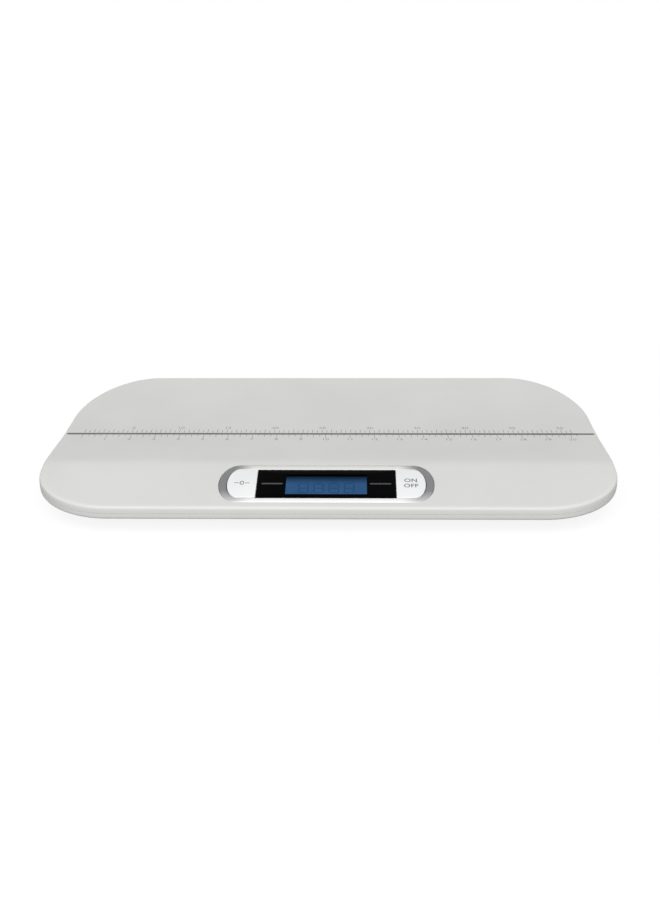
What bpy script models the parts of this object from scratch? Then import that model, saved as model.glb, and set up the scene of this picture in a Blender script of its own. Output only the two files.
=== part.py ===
"""Low digital weighing scale for small animals: a shallow white tray on four weighing feet.

Metres, +Z up. The origin is on the floor under the middle of the tray, +X to the right of the
reader, -Y towards the reader. Run with blender --background --python part.py.
"""

import math

import bmesh
import bpy
from mathutils import Matrix, Vector

# Fits
GAP = 0.0003
LOOSE = 0.0005
CUT_PAST = 0.002
MERGE = 0.000001
SHARP_ANGLE = math.radians(35)

# Tray outline and section
WIDTH = 0.560
DEPTH = 0.315
FRONT_CORNER = 0.068
REAR_CORNER = 0.092
RIM_RADIUS = 0.0065
WALL = 0.003
INNER_CHAMFER = 0.001
TRAY_Z = 0.044
REAR_RISE = 0.012
CREST_RISE = 0.002
APRON_BACK = 0.0135
APRON_ANGLE = math.radians(12)
CREST_ROUND = 0.014
RIB_THICKNESS = 0.002
RIB_HEIGHT = 0.006
RIB_HALF_LENGTH = 0.150
FRONT_RIB_Y = -0.030
REAR_RIB_INSET = 0.0075

# Lower case
FLOOR_Z = 0.011
FLOOR_WALL = 0.0025
HULL_INSET = 0.045
HULL_TURN = math.radians(60)
LIP_WALL = 0.0015
LIP_CLEAR = 0.0004

# Measuring line across the tray
RULER_Y = 0.0
RULER_WIDTH = 0.0044
RULER_THICKNESS = 0.0012

# Display ring, measured in the plane of the sloped front
RING_LENGTH = 0.205
RING_HEIGHT = 0.060
RING_END = 0.019
RING_BAND_ENDS = 0.0076
RING_BAND_SIDES = 0.00675
RING_THICKNESS = 0.0012
RING_FROM_EDGE = 0.0107

# Window and screen
WINDOW_LENGTH = 0.1315
WINDOW_CLEAR = 0.00025
WINDOW_THICKNESS = 0.002
WINDOW_SINK = 0.0002
SCREEN_LENGTH = 0.084
SCREEN_HEIGHT = 0.038
SCREEN_THICKNESS = 0.0022
LIGHT_HEIGHT = 0.033
LIGHT_THICKNESS = 0.0034
STRIP_WIDTH = 0.0026
CARRIER_MARGIN = 0.0015

# Circuit board
BOARD_PAST_RING = 0.0115
BOARD_HEIGHT = 0.046
BOARD_THICKNESS = 0.0016
BOARD_SCREW_END = 0.006
BOARD_SCREW_SIDE = 0.009
BOARD_BOSS_RADIUS = 0.0035
CHIP_SIZE = 0.012
CHIP_HEIGHT = 0.0014

# Keys and switches
KEY_GAP = 0.0006
KEY_PROUD = 0.0006
KEY_FLANGE = 0.0012
KEY_FLANGE_THICKNESS = 0.001
KEY_TRAVEL = 0.001
KEY_STEM_RADIUS = 0.0025
SWITCH_SIDE = 0.006
SWITCH_HEIGHT = 0.0031
SWITCH_BORE = 0.002
PLUNGER_RADIUS = 0.0017
PLUNGER_PROUD = 0.001

# Weighing feet
FOOT_RADIUS = 0.021
FOOT_SIDE_MARGIN = 0.0195
FOOT_END_MARGIN = 0.002
WELL_CLEAR = 0.002
WELL_DEPTH = 0.008
FOOT_RIM = 0.002
PAD_HEIGHT = 0.0032
PAD_SEAT = 0.0012
FOOT_SINK = 0.0005
PIN_RADIUS = 0.005
HOLDER_CLEAR = 0.0011
HOLDER_EDGE = 0.0005
CELL_THICKNESS = 0.002
CELL_SLOT = 0.002
CELL_BEAM = 0.010
CELL_ARM = 0.0045
HOLDER_RIB = 0.004
HOLDER_THICKNESS = 0.0032

# Battery bay
BATTERY_INSET = 0.0545
BATTERY_RADIUS = 0.00725
BATTERY_LENGTH = 0.0495
BATTERY_NIPPLE = 0.001
BATTERY_NIPPLE_RADIUS = 0.00275
BATTERY_CLEAR = 0.0007
BATTERY_COUNT = 4
CONTACT_SPACE = 0.003
CONTACT_SHEET = 0.0005
CONTACT_HEIGHT = 0.010
BAY_WALL = 0.002
DOOR_THICKNESS = 0.002
DOOR_TONGUE = 0.003
DOOR_TONGUE_WIDTH = 0.012
DOOR_TONGUE_THICKNESS = 0.0014
DOOR_LEDGE = 0.0045
GRIP_LENGTH = 0.018
GRIP_WIDTH = 0.006
GRIP_DEPTH = 0.0008

# Screws
SIDE_SCREW_INSET = 0.010
END_SCREW_X = 0.075
REAR_SCREW_INSET = 0.0125
FRONT_SCREW_MARGIN = 0.006
BOSS_RADIUS = 0.0048
BOSS_HEIGHT = 0.013
HEAD_RADIUS = 0.0032
HEAD_HEIGHT = 0.0022
SHANK_RADIUS = 0.0015
SHANK_LENGTH = 0.016
HEAD_SINK = 0.0045
BOARD_HEAD_RADIUS = 0.0026
BOARD_HEAD_HEIGHT = 0.0014
BOARD_SHANK_RADIUS = 0.0011
BOARD_SHANK_LENGTH = 0.0052

# Leads
CELL_LEAD_RADIUS = 0.0014
BATTERY_LEAD_RADIUS = 0.0009
LEAD_CLEAR = 0.0006
LEAD_DROP = 0.004
FRONT_PAD_INSET = 0.018
REAR_PAD_INSET = 0.030
BATTERY_PAD_X = 0.050

# Facets of the curves
TRAY_STATIONS = 8
CREST_STATIONS = 4
CORNER_STEPS = 9
RIM_STEPS = 4
END_STEPS = 14
ROUND_STEPS = 28
BATTERY_STEPS = 20
BOSS_STEPS = 16
SCREW_STEPS = 12
LEAD_DIAMETERS = 3

# Derived places
APRON_SLOPE = math.tan(APRON_ANGLE)
RING_RUN = RING_HEIGHT * math.cos(APRON_ANGLE)
CREST_Y = -DEPTH / 2 + RING_FROM_EDGE + RING_RUN + APRON_BACK
RING_Y = -DEPTH / 2 + RING_FROM_EDGE + RING_RUN / 2
BOARD_LENGTH = RING_LENGTH + 2 * BOARD_PAST_RING
BOARD_SCREW_X = BOARD_LENGTH / 2 - BOARD_SCREW_END
BOARD_SCREW_V = BOARD_HEIGHT / 2 - BOARD_SCREW_SIDE
PAD_RADIUS = FOOT_RADIUS - FOOT_RIM
FOOT_TOP = FLOOR_Z - FOOT_SINK
WELL_RADIUS = FOOT_RADIUS + WELL_CLEAR
WELL_OUTSIDE = WELL_RADIUS + FLOOR_WALL
WELL_TOP = FLOOR_Z + WELL_DEPTH
HOLDER_SIDE = math.sqrt(2) * (WELL_RADIUS - HOLDER_CLEAR)
CELL_SIDE = HOLDER_SIDE - 2 * HOLDER_EDGE
CELL_TOP = WELL_TOP - GAP - HOLDER_THICKNESS - GAP
FOOT_X = WIDTH / 2 - HULL_INSET - FOOT_SIDE_MARGIN - WELL_OUTSIDE
FOOT_Y = DEPTH / 2 - HULL_INSET - FOOT_END_MARGIN - WELL_OUTSIDE
FOOT_PLACES = (("front_left", -FOOT_X, -FOOT_Y), ("front_right", FOOT_X, -FOOT_Y),
               ("rear_left", -FOOT_X, FOOT_Y), ("rear_right", FOOT_X, FOOT_Y))
BATTERY_Y = DEPTH / 2 - HULL_INSET - BATTERY_INSET
BATTERY_PITCH = 2 * BATTERY_RADIUS + BATTERY_CLEAR
BOSS_SPLIT_Z = FLOOR_Z + BOSS_HEIGHT
HEAD_SEAT_Z = FLOOR_Z + HEAD_SINK
SIDE_SCREW_X = WIDTH / 2 - HULL_INSET - SIDE_SCREW_INSET
REAR_SCREW_Y = DEPTH / 2 - HULL_INSET - REAR_SCREW_INSET
FRONT_SCREW_Y = -FOOT_Y + WELL_OUTSIDE + BOSS_RADIUS + FRONT_SCREW_MARGIN
CASE_SCREWS = ((-SIDE_SCREW_X, RULER_Y), (SIDE_SCREW_X, RULER_Y),
               (-END_SCREW_X, REAR_SCREW_Y), (END_SCREW_X, REAR_SCREW_Y),
               (-END_SCREW_X, FRONT_SCREW_Y), (END_SCREW_X, FRONT_SCREW_Y))
RIB_YS = (FRONT_RIB_Y, DEPTH / 2 - HULL_INSET - REAR_RIB_INSET)


def tray_rise(y):
    """Height of the tray's top above its lowest line, at a place along Y."""
    if y >= RULER_Y:
        return REAR_RISE * ((y - RULER_Y) / (DEPTH / 2 - RULER_Y)) ** 2
    if y >= CREST_Y:
        share = (RULER_Y - y) / (RULER_Y - CREST_Y)
        return CREST_RISE * (3 * share ** 2 - 2 * share ** 3)
    ahead = CREST_Y - y
    if ahead < CREST_ROUND:
        return CREST_RISE - APRON_SLOPE * ahead ** 2 / (2 * CREST_ROUND)
    return CREST_RISE - APRON_SLOPE * (ahead - CREST_ROUND / 2)


def make_material(name, colour, roughness, metallic=0.0):
    """A plain material from an sRGB colour."""
    material = bpy.data.materials.new(name)
    material.use_nodes = True
    shader = material.node_tree.nodes["Principled BSDF"]
    linear = [(c / 12.92 if c <= 0.04045 else ((c + 0.055) / 1.055) ** 2.4) for c in colour]
    shader.inputs["Base Color"].default_value = (*linear, 1)
    shader.inputs["Roughness"].default_value = roughness
    shader.inputs["Metallic"].default_value = metallic
    material.diffuse_color = (*linear, 1)
    return material


def add_object(name, mesh, material, parent=None, location=(0, 0, 0)):
    """Links a mesh into the scene under a name."""
    thing = bpy.data.objects.new(name, mesh)
    bpy.context.scene.collection.objects.link(thing)
    thing.parent = parent
    thing.location = location
    if material:
        mesh.materials.append(material)
    return thing


def mesh_from(bm, name):
    """Turns an edit mesh into a mesh with outward faces and smooth rounds."""
    bmesh.ops.recalc_face_normals(bm, faces=bm.faces)
    mesh = bpy.data.meshes.new(name)
    bm.to_mesh(mesh)
    bm.free()
    mesh.shade_smooth()
    mesh.set_sharp_from_angle(angle=SHARP_ANGLE)
    return mesh


def prism_mesh(name, outline, bottom, top):
    """A flat outline of (x, y) points raised from one height to another."""
    bm = bmesh.new()
    base = bm.faces.new([bm.verts.new((x, y, bottom)) for x, y in outline])
    made = bmesh.ops.extrude_face_region(bm, geom=[base])
    lifted = [v for v in made["geom"] if isinstance(v, bmesh.types.BMVert)]
    bmesh.ops.translate(bm, verts=lifted, vec=(0, 0, top - bottom))
    return mesh_from(bm, name)


def turned_mesh(name, profile, steps=ROUND_STEPS):
    """A solid of revolution about Z from (radius, z) points, whose ends lie on the axis."""
    bm = bmesh.new()
    points = [bm.verts.new((radius, 0, z)) for radius, z in profile]
    edges = [bm.edges.new(pair) for pair in zip(points, points[1:])]
    bmesh.ops.spin(bm, geom=points + edges, cent=(0, 0, 0), axis=(0, 0, 1), steps=steps,
                   angle=2 * math.pi, use_merge=True)
    bmesh.ops.remove_doubles(bm, verts=bm.verts, dist=MERGE)
    return mesh_from(bm, name)


def box_outline(length, height, centre=(0, 0)):
    """The four corners of a rectangle."""
    x, y = centre
    return [(x + sx * length / 2, y + sy * height / 2) for sx, sy in ((-1, -1), (1, -1), (1, 1), (-1, 1))]


def circle_outline(radius, centre=(0, 0), steps=ROUND_STEPS):
    """Points round a circle."""
    turns = [2 * math.pi * i / steps for i in range(steps)]
    return [(centre[0] + radius * math.cos(t), centre[1] + radius * math.sin(t)) for t in turns]


def pill_outline(half_length, half_height, end):
    """A long outline with straight sides and half-ellipse ends."""
    straight = half_length - end
    points = []
    for side, start in ((1, -math.pi / 2), (-1, math.pi / 2)):
        for i in range(END_STEPS + 1):
            turn = start + math.pi * i / END_STEPS
            points.append((side * straight + end * math.cos(turn), half_height * math.sin(turn)))
    return points


def ring_outline(margin):
    """The ring's inner edge, moved outwards by a margin."""
    return pill_outline(RING_LENGTH / 2 - RING_BAND_ENDS + margin,
                        RING_HEIGHT / 2 - RING_BAND_SIDES + margin,
                        RING_END - RING_BAND_ENDS + margin)


def key_outline(margin):
    """A right-hand key: the ring's end, cut straight beside the window."""
    edge = WINDOW_LENGTH / 2 + KEY_GAP
    right = [p for p in ring_outline(margin) if p[0] > edge]
    half_height = RING_HEIGHT / 2 - RING_BAND_SIDES + margin
    return [(edge, -half_height)] + right + [(edge, half_height)]


def boolean(thing, tool, operation):
    """Cuts or joins a tool, which then stays as a hidden guide."""
    modifier = thing.modifiers.new(tool.name, "BOOLEAN")
    modifier.object = tool
    modifier.operation = operation
    modifier.solver = "EXACT"
    tool.hide_render = True
    tool.display_type = "WIRE"


def cut(thing, mesh, parent=None, location=(0, 0, 0)):
    """Cuts a mesh out of an object and returns the guide."""
    tool = add_object("cut_" + mesh.name, mesh, None, parent, location)
    boolean(thing, tool, "DIFFERENCE")
    return tool


def join(thing, mesh, parent=None, location=(0, 0, 0)):
    """Joins a mesh to an object."""
    boolean(thing, add_object("join_" + mesh.name, mesh, None, parent, location), "UNION")


def tray_outline(inset):
    """The tray's rounded outline, drawn in by an inset, with the same points for each inset."""
    half_x = WIDTH / 2 - inset
    half_y = DEPTH / 2 - inset
    front = FRONT_CORNER - inset
    rear = REAR_CORNER - inset
    corners = ((1, -1, front, -90), (1, 1, rear, 0), (-1, 1, rear, 90), (-1, -1, front, 180))
    points = []
    for sx, sy, radius, start in corners:
        for i in range(CORNER_STEPS + 1):
            turn = math.radians(start + 90 * i / CORNER_STEPS)
            points.append((sx * (half_x - radius) + radius * math.cos(turn),
                           sy * (half_y - radius) + radius * math.sin(turn)))
    return points


def shell_mesh(name, rings, lift):
    """A closed shell from (inset, z) rings, its first and last ring filled, then bent along Y.

    lift(z) is how much of the tray's rise a height takes up.
    """
    bm = bmesh.new()
    loops = [[bm.verts.new((x, y, z)) for x, y in tray_outline(inset)] for inset, z in rings]
    bm.faces.new(loops[0])
    bm.faces.new(loops[-1])
    for lower, upper in zip(loops, loops[1:]):
        for i, point in enumerate(lower):
            before = i - 1
            bm.faces.new((lower[before], point, upper[i], upper[before]))
    trough_ys = [RULER_Y + (DEPTH / 2 - RULER_Y) * i / TRAY_STATIONS for i in range(TRAY_STATIONS)]
    front_ys = [RULER_Y + (CREST_Y - RULER_Y) * i / TRAY_STATIONS for i in range(1, TRAY_STATIONS)]
    crest_ys = [CREST_Y - CREST_ROUND * i / CREST_STATIONS for i in range(CREST_STATIONS + 1)]
    for y in trough_ys + front_ys + crest_ys:
        bmesh.ops.bisect_plane(bm, geom=bm.verts[:] + bm.edges[:] + bm.faces[:], dist=MERGE,
                               plane_co=(0, y, 0), plane_no=(0, 1, 0))
    for vert in bm.verts:
        vert.co.z += lift(vert.co.z) * tray_rise(vert.co.y)
    return mesh_from(bm, name)


def smooth_route(points, step):
    """Places a step apart on a smooth curve through the given points."""
    route = [Vector(p) for p in points]
    route = [2 * route[0] - route[1]] + route + [2 * route[-1] - route[-2]]
    places = []
    for a, b, c, d in zip(route, route[1:], route[2:], route[3:]):
        count = max(1, math.ceil((c - b).length / step))
        for i in range(count):
            t = i / count
            places.append(0.5 * (2 * b + (c - a) * t + (2 * a - 5 * b + 4 * c - d) * t ** 2
                                 + (3 * b - a - 3 * c + d) * t ** 3))
    return places + [route[-2]]


def lead(name, points, radius, material):
    """A round lead along a route."""
    curve = bpy.data.curves.new(name, "CURVE")
    curve.dimensions = "3D"
    curve.bevel_depth = radius
    curve.bevel_resolution = 2
    curve.use_fill_caps = True
    places = smooth_route(points, 2 * radius * LEAD_DIAMETERS)
    spline = curve.splines.new("POLY")
    spline.points.add(len(places) - 1)
    for point, place in zip(spline.points, places):
        point.co = (*place, 1)
    return add_object(name, curve, material)


def make_top_cover(plastic, panel):
    """The tray with its sloped front, the ring's seat, the ruler's groove and the bosses."""
    rings = [(RIM_RADIUS, 0)]
    for i in range(1, RIM_STEPS + 1):
        turn = math.pi / 2 * (1 - i / RIM_STEPS)
        rings.append((RIM_RADIUS * (1 - math.cos(turn)), RIM_RADIUS * (math.sin(turn) - 1)))
    rings += [(WALL, -RIM_RADIUS), (WALL, -WALL - INNER_CHAMFER), (WALL + INNER_CHAMFER, -WALL)]
    rings = [(inset, z + TRAY_Z) for inset, z in rings]
    cover = add_object("top_cover", shell_mesh("top_cover", rings, lambda z: 1), plastic)

    seat = pill_outline(RING_LENGTH / 2 + GAP, RING_HEIGHT / 2 + GAP, RING_END + GAP)
    cut(cover, prism_mesh("ring_seat", seat, -RING_THICKNESS - GAP, WALL), panel)
    cut(cover, prism_mesh("key_opening", ring_outline(KEY_FLANGE + LOOSE), -3 * WALL, WALL), panel)

    groove = box_outline(WIDTH - 2 * RIM_RADIUS + 2 * GAP, RULER_WIDTH + 2 * GAP, (0, RULER_Y))
    cut(cover, prism_mesh("ruler_groove", groove, TRAY_Z - RULER_THICKNESS - GAP, TRAY_Z + CUT_PAST))

    for number, (x, y) in enumerate(CASE_SCREWS, 1):
        top = TRAY_Z + tray_rise(y) - WALL / 2
        boss = circle_outline(BOSS_RADIUS, (x, y), BOSS_STEPS)
        join(cover, prism_mesh(f"top_boss_{number}", boss, BOSS_SPLIT_Z, top))
        hole_top = HEAD_SEAT_Z + SHANK_LENGTH + LOOSE
        hole = circle_outline(SHANK_RADIUS + GAP, (x, y), SCREW_STEPS)
        cut(cover, prism_mesh(f"top_hole_{number}", hole, BOSS_SPLIT_Z - CUT_PAST, hole_top))
    for number, (x, v) in enumerate(board_screw_places(), 1):
        boss = circle_outline(BOARD_BOSS_RADIUS, (x, v), BOSS_STEPS)
        join(cover, prism_mesh(f"board_boss_{number}", boss, board_top() + GAP, -WALL / 2), panel)
        hole = circle_outline(BOARD_SHANK_RADIUS + GAP, (x, v), SCREW_STEPS)
        hole_top = board_bottom() - GAP + BOARD_SHANK_LENGTH + LOOSE
        cut(cover, prism_mesh(f"board_hole_{number}", hole, board_top() - CUT_PAST, hole_top), panel)
    for number, y in enumerate(RIB_YS, 1):
        top = TRAY_Z + min(tray_rise(y - RIB_THICKNESS / 2), tray_rise(y + RIB_THICKNESS / 2)) - WALL / 2
        rib = box_outline(2 * RIB_HALF_LENGTH, RIB_THICKNESS, (0, y))
        join(cover, prism_mesh(f"tray_rib_{number}", rib, top - WALL / 2 - RIB_HEIGHT, top))


def window_bottom():
    """Underside of the window, along the slope's normal from the surface."""
    return -WINDOW_SINK - WINDOW_THICKNESS


def screen_bottom():
    """Underside of the screen glass."""
    return window_bottom() - 2 * GAP - SCREEN_THICKNESS


def board_top():
    """Upper face of the circuit board."""
    return screen_bottom() - 2 * GAP - LIGHT_THICKNESS


def board_bottom():
    """Lower face of the circuit board."""
    return board_top() - BOARD_THICKNESS


def board_screw_places():
    """The four screws that hold the board, in the plane of the slope."""
    return [(sx * BOARD_SCREW_X, sv * BOARD_SCREW_V) for sx in (-1, 1) for sv in (-1, 1)]


def make_display(panel, paints):
    """Ring, window, screen, light, connector strip, carrier and board, in the plane of the slope."""
    ring = pill_outline(RING_LENGTH / 2, RING_HEIGHT / 2, RING_END)
    mesh = prism_mesh("display_bezel", ring, -RING_THICKNESS, 0)
    bezel = add_object("display_bezel", mesh, paints["grey"], panel)
    cut(bezel, prism_mesh("ring_inside", ring_outline(0), -WALL, WALL), panel)

    window_height = RING_HEIGHT - 2 * RING_BAND_SIDES - 2 * WINDOW_CLEAR
    window = box_outline(WINDOW_LENGTH, window_height)
    mesh = prism_mesh("display_window", window, window_bottom(), -WINDOW_SINK)
    add_object("display_window", mesh, paints["black"], panel)

    screen = box_outline(SCREEN_LENGTH, SCREEN_HEIGHT)
    mesh = prism_mesh("lcd_panel", screen, screen_bottom(), window_bottom() - 2 * GAP)
    add_object("lcd_panel", mesh, paints["blue"], panel)

    low = board_top() + GAP
    high = screen_bottom() - GAP
    light_v = (LIGHT_HEIGHT - SCREEN_HEIGHT) / 2 + GAP
    light = box_outline(SCREEN_LENGTH, LIGHT_HEIGHT, (0, light_v))
    add_object("lcd_backlight", prism_mesh("lcd_backlight", light, low, high), paints["milky"], panel)
    strip_v = SCREEN_HEIGHT / 2 - STRIP_WIDTH / 2 - GAP
    strip = box_outline(SCREEN_LENGTH - STRIP_WIDTH, STRIP_WIDTH, (0, strip_v))
    mesh = prism_mesh("lcd_connector_strip", strip, low, high)
    add_object("lcd_connector_strip", mesh, paints["pink"], panel)

    frame_top = -WALL / math.cos(APRON_ANGLE) - GAP
    lower = box_outline(WINDOW_LENGTH, window_height + 2 * CARRIER_MARGIN)
    mesh = prism_mesh("display_carrier", lower, low, frame_top)
    carrier = add_object("display_carrier", mesh, paints["white"], panel)
    raised = box_outline(WINDOW_LENGTH - 2 * CARRIER_MARGIN, window_height - 2 * CARRIER_MARGIN)
    join(carrier, prism_mesh("carrier_seat", raised, frame_top - GAP, window_bottom() - GAP), panel)
    pocket = box_outline(SCREEN_LENGTH + 2 * GAP, SCREEN_HEIGHT + 2 * GAP)
    cut(carrier, prism_mesh("screen_pocket", pocket, low - CUT_PAST, 0), panel)

    outline = box_outline(BOARD_LENGTH, BOARD_HEIGHT)
    mesh = prism_mesh("main_board", outline, board_bottom(), board_top())
    board = add_object("main_board", mesh, paints["board"], panel)
    for number, (x, v) in enumerate(board_screw_places(), 1):
        hole = circle_outline(BOARD_SHANK_RADIUS + GAP, (x, v), SCREW_STEPS)
        low, high = board_bottom() - CUT_PAST, board_top() + CUT_PAST
        cut(board, prism_mesh(f"board_clearance_{number}", hole, low, high), panel)
    chip_top = board_bottom() - GAP
    chip = box_outline(CHIP_SIZE, CHIP_SIZE, (-BOARD_LENGTH / 8, 0))
    mesh = prism_mesh("controller_chip", chip, chip_top - CHIP_HEIGHT, chip_top)
    add_object("controller_chip", mesh, paints["black"], panel)


def make_keys(panel, paints):
    """Two keys that press straight into the slope, each over its own switch."""
    plunger_top = board_top() + GAP + SWITCH_HEIGHT + PLUNGER_PROUD
    flange_top = -RING_THICKNESS - GAP
    flange_bottom = flange_top - KEY_FLANGE_THICKNESS
    outer = RING_LENGTH / 2 - RING_BAND_ENDS
    middle = (WINDOW_LENGTH / 2 + KEY_GAP + outer) / 2
    for side, sign in (("left", -1), ("right", 1)):
        place = (sign * middle, 0, 0)

        def around(outline):
            """The right-hand outline, mirrored for the left key, about the key's middle."""
            points = [(sign * (x - middle), v) for x, v in outline]
            return points[::sign]

        cap = prism_mesh(f"{side}_button", around(key_outline(-LOOSE)), flange_bottom, KEY_PROUD)
        key = add_object(f"{side}_button", cap, paints["white"], panel, place)
        flange = prism_mesh(f"{side}_flange", around(key_outline(KEY_FLANGE)), flange_bottom, flange_top)
        join(key, flange, panel, place)
        stem = circle_outline(KEY_STEM_RADIUS, steps=BOSS_STEPS)
        join(key, prism_mesh(f"{side}_stem", stem, plunger_top + GAP, flange_top), panel, place)

        low = board_top() + GAP
        high = low + SWITCH_HEIGHT
        body = prism_mesh(f"{side}_switch_body", box_outline(SWITCH_SIDE, SWITCH_SIDE), low, high)
        switch = add_object(f"{side}_switch_body", body, paints["black"], panel, place)
        bore = circle_outline(SWITCH_BORE, steps=BOSS_STEPS)
        floor = low + LOOSE
        cut(switch, prism_mesh(f"{side}_switch_bore", bore, floor, high + CUT_PAST), panel, place)
        plunger = circle_outline(PLUNGER_RADIUS, steps=BOSS_STEPS)
        bottom = floor + KEY_TRAVEL + GAP
        mesh = prism_mesh(f"{side}_switch_plunger", plunger, bottom, plunger_top)
        add_object(f"{side}_switch_plunger", mesh, paints["grey"], panel, place)


def bay_size():
    """Inside length and depth of the battery bay."""
    length = BATTERY_COUNT * BATTERY_PITCH + LOOSE
    depth = BATTERY_LENGTH + 2 * CONTACT_SPACE + 2 * CONTACT_SHEET + 2 * GAP
    return length, depth


def battery_z():
    """Height of the battery axes, with room below for the door's tongues to turn."""
    tongue_swing = math.hypot(DOOR_TONGUE, FLOOR_WALL + GAP + DOOR_TONGUE_THICKNESS)
    return FLOOR_Z + tongue_swing + GAP + BATTERY_RADIUS


def bay_roof():
    """Underside of the battery bay's roof."""
    return battery_z() + BATTERY_RADIUS + LOOSE


def battery_lead_place(side):
    """Where a battery lead leaves the bay, behind the end contact on one side."""
    depth = bay_size()[1]
    return side * (BATTERY_COUNT - 1) * BATTERY_PITCH / 2, BATTERY_Y - depth / 2


def make_bottom_cover(plastic):
    """The lower case, with its wells for the feet, its battery bay and its screw bosses."""
    low = TRAY_Z - RIM_RADIUS - GAP
    outer = []
    for i in range(RIM_STEPS + 1):
        turn = -HULL_TURN * (1 - i / RIM_STEPS)
        outer.append((RIM_RADIUS * (1 - math.cos(turn)), low + RIM_RADIUS * math.sin(turn)))
    lip_out = WALL + GAP
    lip_in = lip_out + LIP_WALL
    lip_top = TRAY_Z - WALL - INNER_CHAMFER - LIP_CLEAR
    rings = [(HULL_INSET, FLOOR_Z)] + outer
    rings += [(lip_out, low), (lip_out, lip_top), (lip_in, lip_top), (lip_in, low - FLOOR_WALL)]
    rings += [(RIM_RADIUS + FLOOR_WALL, outer[0][1] + FLOOR_WALL / 2), (HULL_INSET, FLOOR_Z + FLOOR_WALL)]

    def lift(z):
        """The floor stays flat and the whole of the rim follows the tray."""
        return min(1, max(0, (z - FLOOR_Z - FLOOR_WALL) / (outer[0][1] - FLOOR_Z - FLOOR_WALL)))

    case = add_object("bottom_cover", shell_mesh("bottom_cover", rings, lift), plastic)
    floor_top = FLOOR_Z + FLOOR_WALL
    inside_wall = FLOOR_Z + FLOOR_WALL / 2
    for name, x, y in FOOT_PLACES:
        roof = WELL_TOP + FLOOR_WALL
        join(case, prism_mesh(f"{name}_well", circle_outline(WELL_OUTSIDE, (x, y)), inside_wall, roof))
        well = circle_outline(WELL_RADIUS, (x, y))
        cut(case, prism_mesh(f"{name}_well_inside", well, FLOOR_Z - CUT_PAST, WELL_TOP))
        hole = circle_outline(CELL_LEAD_RADIUS + LEAD_CLEAR, (x, y), SCREW_STEPS)
        cut(case, prism_mesh(f"{name}_lead_hole", hole, WELL_TOP - CUT_PAST, roof + CUT_PAST))

    length, depth = bay_size()
    roof = bay_roof()
    outline = box_outline(length + 2 * BAY_WALL, depth + 2 * BAY_WALL, (0, BATTERY_Y))
    join(case, prism_mesh("battery_bay", outline, inside_wall, roof + BAY_WALL))
    cut(case, prism_mesh("bay_inside", box_outline(length, depth, (0, BATTERY_Y)), floor_top, roof))
    opening = box_outline(length, depth - DOOR_LEDGE, (0, BATTERY_Y + DOOR_LEDGE / 2))
    cut(case, prism_mesh("bay_opening", opening, FLOOR_Z - CUT_PAST, floor_top + CUT_PAST))
    for side in (-1, 1):
        hole = circle_outline(BATTERY_LEAD_RADIUS + LEAD_CLEAR, steps=SCREW_STEPS)
        mesh = prism_mesh(f"battery_lead_hole_{side}", hole, -CUT_PAST, BAY_WALL + CUT_PAST)
        drill = cut(case, mesh, None, (*battery_lead_place(side), battery_z()))
        drill.rotation_euler = (math.pi / 2, 0, 0)

    for number, (x, y) in enumerate(CASE_SCREWS, 1):
        outline = circle_outline(BOSS_RADIUS, (x, y), BOSS_STEPS)
        join(case, prism_mesh(f"low_boss_{number}", outline, inside_wall, BOSS_SPLIT_Z - GAP))
        head = circle_outline(HEAD_RADIUS + LOOSE, (x, y), BOSS_STEPS)
        cut(case, prism_mesh(f"head_pocket_{number}", head, FLOOR_Z - CUT_PAST, HEAD_SEAT_Z))
        shank = circle_outline(SHANK_RADIUS + GAP, (x, y), SCREW_STEPS)
        cut(case, prism_mesh(f"shank_hole_{number}", shank, HEAD_SEAT_Z - CUT_PAST, BOSS_SPLIT_Z + CUT_PAST))


def make_ruler(paint):
    """The dark measuring strip in its groove, level with the tray."""
    strip = box_outline(WIDTH - 2 * RIM_RADIUS, RULER_WIDTH, (0, RULER_Y))
    add_object("ruler_strip", prism_mesh("ruler_strip", strip, TRAY_Z - RULER_THICKNESS, TRAY_Z), paint)


def load_cell_outline():
    """A square plate with a U-shaped slot that leaves a bending tongue in the middle."""
    half = CELL_SIDE / 2
    tongue = CELL_BEAM / 2
    slot = tongue + CELL_SLOT
    tip = half - CELL_ARM - CELL_SLOT
    root = -half + CELL_ARM
    return [(-half, -half), (half, -half), (half, half), (-half, half)], [
        (-slot, root), (-tongue, root), (-tongue, tip), (tongue, tip), (tongue, root), (slot, root),
        (slot, tip + CELL_SLOT), (-slot, tip + CELL_SLOT)]


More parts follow.
